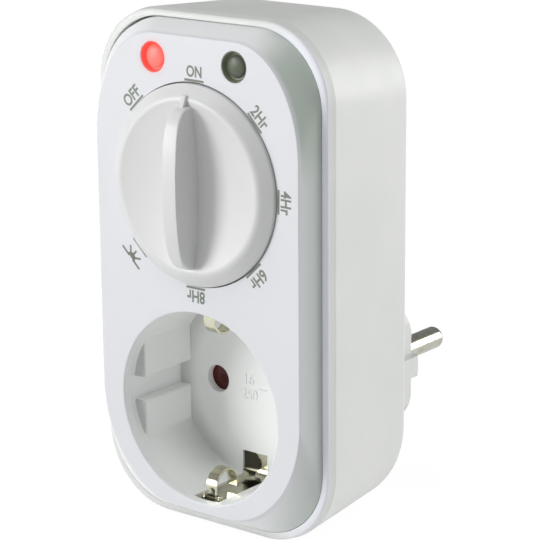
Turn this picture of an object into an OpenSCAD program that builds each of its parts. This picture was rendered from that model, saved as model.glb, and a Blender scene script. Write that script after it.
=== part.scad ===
// Plug-in timer switch: a rounded housing with an earthed plug on its back, an earthed
// round socket in its front, and a rotary selector with two round windows above the socket.
// Millimetres, +Z up, the front faces -Y. The origin is the centre of the plug's face,
// midway between its two pins.

/* [Housing] */
// Width of the housing at its front rim
body_w = 56.8; // [56:0.2:62]
// Height of the housing above the knob's axis
head_h = 32.5; // [31:0.1:40]
// Depth of the housing, from its rear face to its front rim
body_depth = 27.4; // [27:0.2:34]
// Height of the plug and socket axis above the foot of the housing
axis_up = 25.8; // [25.4:0.1:28]
// Radius of the two upper corners
top_corner_r = 15.2; // [13:0.2:17]
// Radius of the two lower corners
foot_corner_r = 16.7; // [15:0.1:17]
// Thickness of the housing wall around the front opening
wall = 1.85; // [1.6:0.05:2.0]
// Width of the ledge inside the housing that the front panel rests on
ledge_w = 0.9; // [0.7:0.1:1.1]
// Draft of each side wall, measured at the rear
side_draft = 0.8; // [0.2:0.1:1.0]
// Draft of the top wall, measured at the rear
top_draft = 1.0; // [0.2:0.1:1.4]
// Rounding of the outer edge of the front rim
rim_round = 1.4; // [0.8:0.1:1.6]
// Rounding of the rear edge
rear_round = 2.0; // [1.0:0.1:2.2]

/* [Front panel] */
// How far the flat of the panel stands in front of the housing's rim
panel_proud = 4.7; // [3.6:0.1:5.4]
// Gap between the panel and the rim
panel_gap = 0.2; // [0.15:0.05:0.3]
// How deep the panel's skirt reaches into the housing
panel_seat = 3.4; // [3:0.1:4.2]
// Width of the slope beside the flat
slope_side = 1.5; // [1.2:0.1:1.8]
// Width of the slope above the flat
slope_top = 2.1; // [1.6:0.1:2.6]
// Width of the slope below the flat
slope_foot = 0.6; // [0.5:0.1:0.8]
// Radius of the flat's upper corners
flat_top_r = 15.4; // [13:0.2:17]
// Radius of the flat's lower corners
flat_foot_r = 23.4; // [20:0.2:24]
// Thickness of the panel's flat
panel_t = 2.0; // [1.8:0.1:2.4]

/* [Socket] */
// Inner radius of the socket's cup
cup_r = 19.5; // [19.3:0.1:19.7]
// Depth of the cup, from the panel's flat to its floor
cup_depth = 17.5; // [17.3:0.1:17.8]
// Thickness of the cup's wall
cup_wall = 1.3; // [1.1:0.1:1.5]
// Thickness of the cup's floor
cup_floor_t = 1.8; // [1.6:0.1:2.0]
// Distance from the axis to the flat of each guide block
block_flat = 16.6; // [16.5:0.1:16.9]
// Width of the slot between two guide blocks
block_slot = 5.1; // [4.8:0.1:5.4]
// Distance from the panel's flat to the guide blocks
block_start = 3.0; // [2.6:0.1:3.6]
// Radius of the two contact holes
hole_r = 2.8; // [2.7:0.05:3.0]
// Width of the two slots for the earth contacts
earth_slot_w = 6.4; // [6.2:0.1:7]
// Height that each earth slot cuts into the floor, from the axis
earth_slot_in = 14.0; // [13.8:0.1:14.6]

/* [Plug] */
// Distance between the two pins, and between the two contact holes
pin_pitch = 19.0; // [18.8:0.1:19.2]
// Radius of each pin
pin_r = 2.4; // [2.35:0.01:2.45]
// Length of each pin in front of the plug's face
pin_len = 19.0; // [18.5:0.1:19.5]
// Radius of the plug's round boss
boss_r = 18.5; // [18.3:0.1:18.7]
// Height of the boss, from the housing's rear face to the plug's face
boss_h = 17.5; // [17.3:0.1:18]
// Distance from the axis to the flats on the sides of the boss
boss_flat = 16.2; // [16:0.1:16.3]
// Width of the rib on each flat
boss_rib = 4.3; // [4:0.1:4.6]
// Thickness of the boss's end wall
boss_end_t = 2.4; // [2.2:0.1:3]

/* [Selector knob] */
// Height of the knob's axis above the socket's axis
knob_up = 44.9; // [44.5:0.1:45.6]
// Radius of the knob
knob_r = 19.65; // [19:0.05:19.8]
// Radius of the knob's raised ring
crest_r = 16.9; // [16.4:0.1:17.3]
// Height of the raised ring above the panel's flat
crest_h = 2.4; // [2:0.1:3]
// Height of the middle of the dished face above the panel's flat
dish_h = 1.1; // [1:0.1:1.4]
// Height of the grip's crest above the panel's flat
grip_h = 8.0; // [7.4:0.1:9]
// Height of the grip at its two ends
grip_end_h = 5.9; // [5.4:0.1:6.4]
// Half length of the grip
grip_half = 15.5; // [15:0.1:15.8]
// Thickness of the grip at its middle
grip_t = 3.5; // [3.2:0.1:4]
// Depth of the round well that the knob turns in
well_depth = 2.4; // [2.2:0.1:2.8]
// Gap between the knob and the well's wall
well_gap = 0.35; // [0.3:0.05:0.5]

/* [Windows] */
// Distance from the middle line to each window
window_x = 9.95; // [9.6:0.05:10.4]
// Distance of the windows below the top of the housing
window_drop = 8.7; // [8.5:0.1:10]
// Radius of each window
window_r = 2.9; // [2.7:0.05:3]

/* [Inner parts] */
// Thickness of the rear cover's plate
cover_t = 3.6; // [3.4:0.1:3.8]
// Room between the contacts' tails and the circuit board
board_room = 1.2; // [1:0.1:1.5]
// Thickness of the circuit board
board_t = 1.6; // [1.5:0.1:1.7]
// Thickness of the contact strips
strip_t = 0.7; // [0.6:0.05:0.8]
// Width of the earth bracket's strip
earth_w = 6.0; // [5.8:0.1:6]
// Thickness of the shutter
shutter_t = 1.8; // [1.7:0.1:1.9]
// Room between shutter and its neighbours
shutter_gap = 0.25; // [0.2:0.05:0.3]
// Radius of the threaded shank of the long screws
screw_r = 1.1; // [1:0.05:1.2]

/* [Hidden] */
$fn = 64;
EPS = 0.01;
FIT = 0.05;

// Levels along Y, from the plug's face towards the front
plug_y = 0;
rear_y = plug_y - boss_h;
rim_y = rear_y - body_depth;
ledge_y = rim_y + panel_seat;
front_y = rim_y - panel_proud;
panel_back_y = front_y + panel_t;
cup_floor_y = front_y + cup_depth;
cup_back_y = cup_floor_y + cup_floor_t;
cover_in_y = rear_y - cover_t;
carrier_front_y = cup_back_y + shutter_t + 2 * shutter_gap;
board_y = carrier_front_y + strip_t + board_room;
board_back_y = board_y + board_t;

// Extents of the housing at its rim
half_w = body_w / 2;
window_up = knob_up + head_h - window_drop;
top_z = knob_up + head_h;
foot_z = -axis_up;

// Extents of the panel's flat
flat_inset = wall + panel_gap;
flat_half_w = half_w - flat_inset - slope_side;
flat_top_z = top_z - flat_inset - slope_top;
flat_foot_z = foot_z + flat_inset + slope_foot;

// Rear opening of the housing and the plate that fills it
lip_t = 2.0;
lip_inset = wall + ledge_w + 1.3;
cover_gap = 0.2;

// The four long screws hold the rear cover to posts on the front panel
post_r = 2.9;
post_top = [half_w - 9.6, top_z - 9.6];
post_foot = [half_w - 10.1, foot_z + 10.1];
POSTS = [for (s = [-1, 1], p = [post_top, post_foot]) [s * p[0], p[1]]];
screw_clear = 0.1;
screw_head_r = 2.4;
screw_head_h = 1.6;

mouth_r = cup_r + 0.1;
flange_r = cup_r + cup_wall + 1.4;
flange_t = 1.6;
earth_z = cup_r + 0.1;
channel_z = earth_z + strip_t + FIT;
channel_wall = 1.2;
channel_half = earth_slot_w / 2 + channel_wall;

// Contacts and their carrier
pin_x = pin_pitch / 2;
carrier_flange_t = 3.6;
carrier_r = 19.6;
carrier_body_r = 15.6;
boss_wall = 2.2;
boss_in_r = boss_r - boss_wall;
clip_r = 2.45;
clip_t = 0.6;
clip_room = 0.35;
pin_tail_len = 1.4;
pin_tail_r = 1.6;
collar_r = 3.1;
collar_y = plug_y - boss_end_t - FIT;
tail_y = collar_y - 0.8;
strap_y = tail_y - FIT - strip_t;
groove_y = cover_in_y + 0.1;
bar_w = 4.4;
bracket_y = cup_floor_y + 1.1;
arch_r = 3.5;
arch_t = 0.45;
arch_w = 2.6;
arch_y = front_y + 7.0;
arch_z = -earth_slot_in - arch_r;
spring_r = 2.4;
wire_r = 0.2;
earth_bend_r = 3.4;

// Board parts
board_half_w = half_w - wall - ledge_w - 0.9;
board_top_z = top_z - wall - ledge_w - 1.2;
board_foot_z = cup_r + cup_wall + 2.4;
board_corner_r = 3;
switch_half = 11;
switch_h = 8.4;
bush_r = 4.5;
bush_h = 5.6;
spindle_r = 3;
spindle_flat = 1.6;
rotor_r = 8.8;
rotor_t = 2.4;
hub_r = 5;
hub_gap = 0.5;
tab_z = board_foot_z + 2.6;
live_tab_z = tab_z + 2.6;
lead_tail = 0.5;
BOARD_SCREWS = [for (s = [-1, 1]) [s * 20.5, board_foot_z + 2.4]];
screw_floor = 1.2;
screw_end_gap = 2.4;
board_screw_len = rear_y - screw_floor - screw_end_gap - board_y;

// Sizes of the board's larger parts: width, length, height
RELAY = [9, 25, 15];
DROPPER = [8.5, 16, 14];
VARISTOR = [3.8, 7.2, 9.6];
SMOOTHER = [8, 8, 11.2];
part_gap = 0.3;

// Places of the board's parts, and of the holes for their leads: X, Z, radius
edge_gap = 0.6;
RELAY_AT = [board_half_w - edge_gap - RELAY[0], board_foot_z + 4.9];
RELAY_LEADS = [for (z = [2, 7, 23]) [RELAY_AT[0] + RELAY[0] / 2, RELAY_AT[1] + z, 0.5]];
DROPPER_AT = [edge_gap - board_half_w, board_foot_z + 4.9];
DROPPER_LEADS = [for (z = [1.5, 14.5]) [DROPPER_AT[0] + DROPPER[0] / 2, DROPPER_AT[1] + z, 0.4]];
VARISTOR_AT = [DROPPER_LEADS[0][0], DROPPER_AT[1] + DROPPER[1] + 1 + VARISTOR[1] / 2];
VARISTOR_LEADS = [for (s = [-1, 1]) [VARISTOR_AT[0], VARISTOR_AT[1] + s * 2.5, 0.4]];
SMOOTHER_AT = [6.2, knob_up + switch_half + 1 + SMOOTHER[1] / 2];
SMOOTHER_LEADS = [for (s = [-1, 1]) [SMOOTHER_AT[0] + s * 1.25, SMOOTHER_AT[1], 0.3]];
CHIP_AT = [0, board_foot_z + 3.4];
DIODES_X = [for (k = [0:3]) -11 + k * 3.1];
diodes_z = SMOOTHER_AT[1];
DIODE_LEADS = [for (x = DIODES_X, s = [-1, 1]) [x, diodes_z + s * 3.1, 0.35]];
RESISTORS_X = [-5.2, 0, 5.2];
resistors_z = board_top_z - 3.5;
RESISTOR_LEADS = [for (x = RESISTORS_X, s = [-1, 1]) [x + s * 2.1, resistors_z, 0.3]];
function lamp_leads(x) = [for (s = [-1, 1]) [x + s * 1.27, window_up, 0.25]];
LEADS = concat(RELAY_LEADS, DROPPER_LEADS, SMOOTHER_LEADS, VARISTOR_LEADS, DIODE_LEADS,
    RESISTOR_LEADS, lamp_leads(-window_x), lamp_leads(window_x));

// Prism along Y between two levels, from an outline drawn in X and Z
module along_y(y0, y1) {
    translate([0, y1, 0]) rotate([90, 0, 0]) linear_extrude(y1 - y0) children();
}

// Prism along X between two places, from an outline drawn in Y and Z
module along_x(x0, x1) {
    translate([x0, 0, 0]) rotate([90, 0, 90]) linear_extrude(x1 - x0) children();
}

// Round bar along Y
module rod_y(r, y0, y1, x = 0, z = 0) {
    translate([x, y1, z]) rotate([90, 0, 0]) cylinder(r = r, h = y1 - y0);
}

// Solid turned about an axis along Y, from a profile drawn as radius and Y level
module turned_y(x = 0, z = 0) {
    translate([x, 0, z]) rotate([-90, 0, 0]) rotate_extrude() children();
}

// Rounded rectangle with its own radius at the top and at the foot
module outline(hw, top, foot, rt, rf) {
    polygon([[hw, foot + rf], [hw, top - rt], [hw - rt, top], [rt - hw, top], [-hw, top - rt],
        [-hw, foot + rf], [rf - hw, foot], [hw - rf, foot]]);
    for (s = [-1, 1]) {
        translate([s * (hw - rt), top - rt]) circle(rt);
        translate([s * (hw - rf), foot + rf]) circle(rf);
    }
}

// The housing's outline at the rim, moved inwards
module rim_outline(inset) {
    outline(half_w - inset, top_z - inset, foot_z + inset, top_corner_r - inset,
        foot_corner_r - inset);
}

// Thin slice of the housing: t runs from 0 at the rim to 1 at the rear face
module body_slice(t, inset) {
    y = rim_y + t * body_depth;
    translate([0, min(y, rear_y - EPS), 0]) rotate([90, 0, 0]) linear_extrude(EPS)
        outline(half_w - t * side_draft - inset, top_z - t * top_draft - inset,
            foot_z + inset, top_corner_r - inset, foot_corner_r - inset);
}

// Outer form of the housing, with its draft and its two rounded edges
module body_form() {
    hull() {
        for (a = [0:22.5:90]) {
            body_slice(rim_round * (1 - sin(a)) / body_depth, rim_round * (1 - cos(a)));
            body_slice(1 - rear_round * (1 - sin(a)) / body_depth, rear_round * (1 - cos(a)));
        }
    }
}

module housing() color("white") difference() {
    body_form();
    along_y(rim_y - 1, ledge_y) rim_outline(wall);
    along_y(ledge_y - EPS, rear_y - lip_t) rim_outline(wall + ledge_w);
    along_y(rear_y - lip_t - EPS, rear_y + 1) rim_outline(lip_inset);
}

// Boss of the plug, with its side flats, ribs and earth grooves
module boss_form() {
    rib_x = boss_r - 0.1;
    difference() {
        turned_y() polygon([[0, rear_y - EPS], [boss_r, rear_y - EPS], [boss_r, plug_y - 0.8],
            [boss_r - 0.8, plug_y], [0, plug_y]]);
        for (s = [-1, 1], k = [-1, 1])
            translate([s > 0 ? boss_flat : -boss_flat - 4, rear_y, k > 0 ? boss_rib / 2 : -boss_rib / 2 - 12])
                cube([4, boss_h + 1, 12]);
        for (s = [-1, 1]) {
            translate([s > 0 ? rib_x : -rib_x - 1, rear_y, -boss_rib / 2 - 1])
                cube([1, boss_h + 1, boss_rib + 2]);
            translate([-earth_groove_w / 2, cover_in_y - 1, s > 0 ? earth_groove_z : -earth_groove_z - 4])
                cube([earth_groove_w, boss_h + cover_t + 2, 4]);
        }
    }
}
earth_groove_w = earth_w + 0.8;
earth_groove_z = boss_r - 1.7;

// Hollow of the boss
module boss_hollow(y0, y1, inset) {
    intersection() {
        rod_y(boss_in_r - inset, y0, y1);
        translate([-boss_flat + boss_wall - 0.5 + inset, y0, -boss_in_r])
            cube([2 * (boss_flat - boss_wall + 0.5 - inset), y1 - y0, 2 * boss_in_r]);
    }
}

module rear_cover() color("white") difference() {
    union() {
        along_y(rear_y - lip_t - EPS, rear_y) rim_outline(lip_inset + cover_gap);
        along_y(cover_in_y, rear_y - lip_t - FIT) rim_outline(wall + ledge_w + cover_gap);
        boss_form();
        rod_y(carrier_r, carrier_front_y + carrier_flange_t + FIT, rear_y - 1);
        for (p = BOARD_SCREWS) rod_y(2.4, board_back_y + FIT, rear_y - 1, p[0], p[1]);
    }
    boss_hollow(carrier_front_y, plug_y - boss_end_t, 0);
    rod_y(carrier_body_r + 0.8, carrier_front_y, rear_y);
    for (s = [-1, 1]) {
        rod_y(pin_r + FIT, plug_y - boss_end_t - 1, plug_y + 1, s * pin_x);
        translate([-earth_groove_w / 2, carrier_front_y, s > 0 ? earth_groove_z : -earth_groove_z - 5])
            cube([earth_groove_w, rear_y - carrier_front_y, 5]);
    }
    // groove that leads the live bar out of the boss and up to the board
    translate([pin_x - bar_w / 2 - 0.4, carrier_front_y, live_bar_z - 0.3])
        cube([bar_w + 0.8, groove_y + strip_t + FIT - carrier_front_y, live_tab_z + 1.2 - live_bar_z]);
    for (p = POSTS) {
        rod_y(screw_r + screw_clear + 0.2, cover_in_y - 1, rear_y + 1, p[0], p[1]);
        rod_y(screw_head_r + 0.3, rear_y - screw_head_h - 0.3, rear_y + 1, p[0], p[1]);
    }
    for (p = BOARD_SCREWS)
        rod_y(0.9, board_back_y - 1, rear_y - screw_floor, p[0], p[1]);
}

// Outer form of the front panel: the flat, the rounded slope and the skirt
module panel_form() {
    slope_r = function(t) sin(90 * t);
    hull() {
        along_y(front_y, front_y + EPS)
            outline(flat_half_w, flat_top_z, flat_foot_z, flat_top_r, flat_foot_r);
        for (t = [0.25, 0.5, 0.75, 1]) {
            k = 0.8 * t + 0.2 * slope_r(t);
            y = front_y + t * panel_proud;
            along_y(y, y + EPS)
                outline(flat_half_w + k * slope_side, flat_top_z + k * slope_top,
                    flat_foot_z - k * slope_foot,
                    flat_top_r + k * (top_corner_r - flat_inset - flat_top_r),
                    flat_foot_r + k * (foot_corner_r - flat_inset - flat_foot_r));
        }
        along_y(ledge_y - EPS, ledge_y - FIT) rim_outline(flat_inset);
    }
}

module front_panel() color("white") difference() {
    union() {
        difference() {
            panel_form();
            along_y(panel_back_y, rim_y)
                outline(flat_half_w - 1.6, flat_top_z - 1.6, flat_foot_z + 1.6,
                    flat_top_r - 1.6, flat_foot_r - 1.6);
            along_y(rim_y - EPS, ledge_y + 1) rim_outline(flat_inset + 1.7);
        }
        rod_y(knob_r + well_gap + 1.4, front_y + 0.5, front_y + well_depth + 1.8, 0, knob_up);
        for (p = POSTS) rod_y(post_r, panel_back_y + 1, cover_in_y - FIT, p[0], p[1]);
        for (s = [-1, 1])
            rod_y(window_r + 1.8, panel_back_y - 1, panel_back_y + 2.2, s * window_x, window_up);
    }
    turned_y() polygon([[0, front_y - 1], [mouth_r + 0.5, front_y - 1], [mouth_r + 0.5, front_y],
        [mouth_r + 0.15, front_y + 0.15], [mouth_r, front_y + 0.5], [mouth_r, panel_back_y + 4],
        [0, panel_back_y + 4]]);
    rod_y(knob_r + well_gap, front_y - 1, front_y + well_depth, 0, knob_up);
    rod_y(hub_r + hub_gap, front_y, front_y + well_depth + 4, 0, knob_up);
    rod_y(flange_r + FIT, panel_back_y, panel_back_y + flange_t + FIT);
    translate([-channel_half - FIT, panel_back_y, -channel_z - channel_wall - FIT])
        cube([2 * (channel_half + FIT), panel_seat + panel_proud, channel_wall + 2]);
    for (p = POSTS) rod_y(screw_r + screw_clear, cover_in_y - 12, cover_in_y + 1, p[0], p[1]);
    for (s = [-1, 1]) {
        rod_y(window_r, front_y - 1, panel_back_y + 4, s * window_x, window_up);
        rod_y(window_r + 0.8, panel_back_y, panel_back_y + 4, s * window_x, window_up);
    }
}

// Rear posts of the cup that the carrier is screwed to
CARRIER_SCREWS = [for (s = [-1, 1]) [s * 14, -s * 7.6]];

// One guide block pair is the cup's wall made thicker up to a flat, with a slot in it
module guide_blocks(s) {
    intersection() {
        rod_y(cup_r + 0.3, front_y + block_start, cup_floor_y + 0.3);
        difference() {
            translate([0, 0, -cup_r]) along_z_wedge(s);
            translate([s > 0 ? 0 : -cup_r - 1, front_y, -block_slot / 2])
                cube([cup_r + 1, cup_depth + 2, block_slot]);
        }
    }
}

// Wedge behind the flat of a guide block, with its lead-in ramp towards the mouth
module along_z_wedge(s) {
    y0 = front_y + block_start;
    linear_extrude(2 * cup_r)
        polygon([[s * (cup_r + 1), y0], [s * (cup_r - 0.2), y0], [s * (block_flat + 0.3), y0 + 1.0],
            [s * block_flat, y0 + 1.4], [s * block_flat, cup_floor_y + 0.3],
            [s * (cup_r + 1), cup_floor_y + 0.3]]);
}

module socket_cup() color("whitesmoke") difference() {
    union() {
        difference() {
            union() {
                rod_y(cup_r + cup_wall, panel_back_y + FIT, cup_back_y);
                rod_y(flange_r, panel_back_y + FIT, panel_back_y + flange_t);
            }
            rod_y(cup_r, panel_back_y - 1, cup_floor_y);
        }
        for (s = [-1, 1]) {
            guide_blocks(s);
            translate([-channel_half, panel_back_y + FIT, s > 0 ? cup_r : -channel_z - channel_wall])
                cube([2 * channel_half, cup_back_y - panel_back_y - FIT, channel_z + channel_wall - cup_r]);
        }
        rod_y(1.5, cup_back_y - EPS, carrier_front_y - FIT);
        for (p = CARRIER_SCREWS) rod_y(2.3, cup_back_y - EPS, carrier_front_y - FIT, p[0], p[1]);
    }
    for (s = [-1, 1]) {
        turned_y(s * pin_x) polygon([[0, cup_floor_y - 1], [hole_r + 0.4, cup_floor_y - 1],
            [hole_r + 0.4, cup_floor_y], [hole_r, cup_floor_y + 0.4], [hole_r, cup_back_y + 1],
            [0, cup_back_y + 1]]);
        translate([-earth_slot_w / 2, front_y + panel_t - 0.3, s > 0 ? earth_slot_in : -channel_z])
            cube([earth_slot_w, cup_depth + cup_floor_t + 1, channel_z - earth_slot_in]);
    }
    for (p = CARRIER_SCREWS) rod_y(0.8, cup_back_y - 0.6, carrier_front_y + 1, p[0], p[1]);
    for (p = POSTS) rod_y(post_r + 0.3, panel_back_y - 1, cover_in_y, p[0], p[1]);
    // ring groove that the spring's foot runs in
    turned_y() translate([spring_r - 0.3, cup_back_y - 0.8]) square([0.6, 2]);
}

module contact_carrier() color("dimgray") difference() {
    union() {
        rod_y(carrier_r, carrier_front_y, carrier_front_y + carrier_flange_t);
        boss_hollow(carrier_front_y + 1, clip_end_y + 2, 0.7);
    }
    for (s = [-1, 1]) {
        rod_y(clip_r + clip_t + clip_room, carrier_front_y - 1, clip_end_y + 3, s * pin_x);
        // grooves for the contacts' tails, which run up to the board
        translate([s * pin_x - bar_w / 2 - 0.3, carrier_front_y - 1, 0])
            cube([bar_w + 0.6, 1 + strip_t + 0.1, carrier_r + 1]);
        translate([-earth_slot_w / 2, carrier_front_y - 1, s > 0 ? earth_groove_z - 0.3 : -carrier_r])
            cube([earth_slot_w, carrier_flange_t + 2, carrier_r - earth_groove_z + 0.3]);
    }
    translate([-earth_slot_w / 2, carrier_front_y - 1, -carrier_r])
        cube([earth_slot_w, 1 + strip_t + 0.1, 2 * carrier_r]);
    // channel for the live bar
    translate([pin_x - bar_w / 2 - 0.4, carrier_front_y - 1, live_bar_z - 0.3])
        cube([bar_w + 0.8, 60, 8]);
    for (p = CARRIER_SCREWS) rod_y(1.0, carrier_front_y - 1, clip_end_y, p[0], p[1]);
    for (p = CARRIER_SCREWS)
        rod_y(1.9, carrier_front_y + carrier_flange_t - 1.3, clip_end_y + 3, p[0], p[1]);
}
clip_end_y = plug_y - 12;
live_bar_z = 9.8;

// Shutter: a bar on a pivot, whose two pads stand behind the contact holes
module shutter() color("darkred") {
    y0 = cup_back_y + shutter_gap;
    difference() {
        union() {
            rod_y(3.6, y0, y0 + shutter_t);
            for (s = [-1, 1]) {
                rod_y(3.5, y0, y0 + shutter_t, s * pin_x);
                translate([s > 0 ? 0 : -pin_x, y0, -3]) cube([pin_x, shutter_t, 6]);
            }
        }
        rod_y(1.5 + FIT, y0 - 1, y0 + shutter_t + 1);
        rod_y(spring_r + 0.5, y0 - 1, y0 + 0.9);
        translate([0, y0 - 1, -0.35]) cube([6.2, 1.9, 0.7]);
        // a lead-in hollow in each pad
        for (s = [-1, 1]) turned_y(s * (pin_x - 0.6), 0.6)
            polygon([[0, y0 - 1], [2.3, y0 - 1], [2.3, y0], [0.9, y0 + 0.9], [0, y0 + 0.9]]);
    }
}

// Torsion spring round the pivot: one coil, a leg in the shutter and a foot in the cup
module shutter_spring() color("silver") {
    y0 = cup_back_y + shutter_gap + 0.05 + wire_r;
    leg_r = wire_r - 0.03;
    turned_y() translate([spring_r, y0]) circle(wire_r, $fn = 40);
    translate([spring_r, y0, 0]) rotate([0, 90, 0]) cylinder(r = leg_r, h = 3.6, $fn = 40);
    rod_y(leg_r, cup_back_y - 0.7, y0, -spring_r);
}

// The earth contact on one side of the cup: a strip with an arched spring, which bends up
// through the floor's slot and steps back to cross the carrier
module earth_side() {
    z = -earth_z;
    y_bend = bracket_y - earth_bend_r;
    z_bend = z - strip_t + earth_bend_r;
    z_step = -earth_slot_in - 0.2;
    along_x(-earth_w / 2, earth_w / 2) {
        translate([front_y + 2.6, z - strip_t]) square([y_bend - front_y - 2.6, strip_t]);
        intersection() {
            translate([y_bend, z_bend]) difference() {
                circle(earth_bend_r);
                circle(earth_bend_r - strip_t);
            }
            translate([y_bend - EPS, z - strip_t]) square([earth_bend_r + 1, earth_bend_r]);
        }
        translate([bracket_y - strip_t, z_bend - EPS]) square([strip_t, z_step - z_bend + EPS]);
        translate([bracket_y - strip_t, z_step - strip_t])
            square([carrier_front_y + strip_t - bracket_y + strip_t, strip_t]);
        translate([carrier_front_y, z_step - strip_t]) square([strip_t, strip_t - z_step + EPS]);
    }
    // arched spring contact
    along_x(-arch_w / 2, arch_w / 2) {
        intersection() {
            translate([arch_y, arch_z]) difference() {
                circle(arch_r);
                circle(arch_r - arch_t);
            }
            translate([arch_y - arch_r - 1, arch_z]) square([2 * arch_r + 2, arch_r + 1]);
        }
        translate([arch_y - arch_r, z - EPS]) square([arch_t, arch_z - z + 2 * EPS]);
        translate([arch_y + arch_r - arch_t, arch_z - 1.2]) square([arch_t, 1.2 + EPS]);
    }
    // ears that stop the spring's front foot
    for (s = [-1, 1]) rod_y(0.45, arch_y - arch_r, arch_y - arch_r + 0.9, s * 1.9, z + 0.2);
}

module earth_bracket() color("silver") {
    earth_side();
    mirror([0, 0, 1]) earth_side();
}

// Slotted tube that grips one pin of the plug that is put in
module contact_clip(x) {
    difference() {
        rod_y(clip_r + clip_t, carrier_front_y + 0.1, clip_end_y - 0.3, x);
        rod_y(clip_r, carrier_front_y - 1, clip_end_y + 1, x);
        for (a = [45, 135])
            translate([x, carrier_front_y + 3, 0]) rotate([0, a, 0])
                translate([-5, 0, -0.4]) cube([10, 30, 0.8]);
    }
}

// Tail that runs from a contact's ring up to the board
module contact_tail(x) {
    difference() {
        union() {
            translate([x - bar_w / 2, carrier_front_y + 0.05, 0])
                cube([bar_w, strip_t, tab_z + 1]);
            translate([x - 1, carrier_front_y + 0.05, tab_z - 0.4])
                cube([2, board_back_y + lead_tail - carrier_front_y, 0.8]);
        }
        rod_y(clip_r + clip_t - 0.1, carrier_front_y - 1, carrier_front_y + 2, x);
    }
}

module live_contact() color("goldenrod") {
    contact_clip(pin_x);
    contact_tail(pin_x);
}

module neutral_contact() color("goldenrod") {
    contact_clip(-pin_x);
    contact_tail(-pin_x);
    // strap that ties the contact to the neutral pin's tail
    translate([-pin_x - 1.2, clip_end_y - 1.4, clip_r])
        cube([2.4, strap_y + strip_t - clip_end_y + 1.4, clip_t]);
    difference() {
        translate([-pin_x - 2, strap_y, -3]) cube([4, strip_t, 6]);
        rod_y(pin_tail_r + FIT, plug_y - 10, plug_y, -pin_x);
    }
}

// Plug pin with a rounded tip, a slightly thinner neck inside the end wall, a collar behind
// that wall and a riveted tail
module plug_pin(x) {
    tip = 1.2;
    neck = 0.2;
    turned_y(x) {
        polygon([[0, tail_y - pin_tail_len], [pin_tail_r, tail_y - pin_tail_len], [pin_tail_r, tail_y],
            [collar_r, tail_y], [collar_r, collar_y], [pin_r - neck, collar_y],
            [pin_r - neck, plug_y + 0.3], [pin_r, plug_y + 0.3], [pin_r, plug_y + pin_len - tip],
            [pin_r - tip, plug_y + pin_len - tip], [pin_r - tip, plug_y + pin_len], [0, plug_y + pin_len]]);
        intersection() {
            translate([pin_r - tip, plug_y + pin_len - tip]) circle(tip);
            translate([0, plug_y + pin_len - tip]) square([pin_r, tip]);
        }
    }
}

module live_pin() color("silver") plug_pin(pin_x);
module neutral_pin() color("silver") plug_pin(-pin_x);

// Bar from the live pin's tail, up inside the boss, along a groove of the rear cover and
// forwards to the board
module live_bar() color("goldenrod") difference() {
    union() {
        translate([pin_x - bar_w / 2, strap_y, -bar_w / 2])
            cube([bar_w, strip_t, live_bar_z + strip_t + bar_w / 2]);
        translate([pin_x - bar_w / 2, groove_y, live_bar_z])
            cube([bar_w, strap_y + strip_t - groove_y, strip_t]);
        translate([pin_x - bar_w / 2, groove_y, live_bar_z])
            cube([bar_w, strip_t, live_tab_z + 0.4 - live_bar_z]);
        translate([pin_x - 1, board_y - 0.8, live_tab_z - 0.4])
            cube([2, groove_y + strip_t - board_y + 0.8, 0.8]);
    }
    rod_y(pin_tail_r + FIT, plug_y - 20, plug_y, pin_x);
}

// Sprung earth strips in the grooves at the top and foot of the boss
module plug_earth_contacts() color("silver") for (s = [-1, 1]) mirror([0, 0, s > 0 ? 0 : 1]) {
    z = earth_groove_z + 0.1;
    bow_r = 60;
    bow_y = plug_y - 8.5;
    along_x(-earth_w / 2, earth_w / 2) {
        translate([bracket_y + 0.1, z]) square([plug_y - 1.5 - bracket_y - 0.1, 0.5]);
        intersection() {
            translate([bow_y, z + 1.3 - bow_r]) circle(bow_r, $fn = 180);
            translate([bow_y - 9, z + 0.4]) square([15.5, 2]);
        }
    }
}

// Selector knob: a shallow dish with a raised ring, a bar grip and a small pointer
module knob() color("white") translate([0, 0, knob_up]) difference() {
    rear = front_y + well_depth - 0.5;
    dish_rise = crest_h - dish_h;
    dish_r = (crest_r * crest_r + dish_rise * dish_rise) / (2 * dish_rise);
    union() {
        difference() {
            turned_y() difference() {
                union() {
                    polygon([[0, rear], [knob_r - 0.3, rear], [knob_r, rear - 0.3], [knob_r, front_y - 0.1],
                        [crest_r + 0.5, front_y - crest_h + 0.27], [crest_r, front_y - crest_h],
                        [0, front_y - crest_h]]);
                    translate([crest_r, front_y - crest_h + 0.6]) circle(0.6);
                }
                translate([0, front_y - dish_h - dish_r]) circle(dish_r, $fn = 720);
            }
            rod_y(knob_r - 1.5, rear - 1.2, rear + 1);
        }
        rod_y(hub_r, rear - 1.3, front_y + 7);
        knob_grip();
        knob_pointer();
    }
    // D-shaped bore for the spindle
    intersection() {
        rod_y(spindle_r + FIT, front_y + 0.6, front_y + 8);
        translate([-5, front_y, -5]) cube([10, 10, 5 + spindle_flat + FIT]);
    }
}

// Bar across the knob, with an arched crest and slightly curved flanks
module knob_grip() {
    rise = grip_h - grip_end_h;
    crest_arc_r = (grip_half * grip_half + rise * rise) / (2 * rise);
    taper = 0.4;
    flank_r = (grip_half * grip_half + taper * taper) / (2 * taper);
    intersection() {
        along_x(-grip_t, grip_t) intersection() {
            translate([front_y - grip_h + crest_arc_r, 0]) circle(crest_arc_r, $fn = 360);
            translate([front_y - grip_h - 1, -grip_half]) square([grip_h + 1, 2 * grip_half]);
        }
        along_y(front_y - grip_h - 1, front_y + 1) intersection_for(s = [-1, 1])
            translate([s * (flank_r - grip_t / 2), 0]) circle(flank_r, $fn = 720);
    }
}

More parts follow.
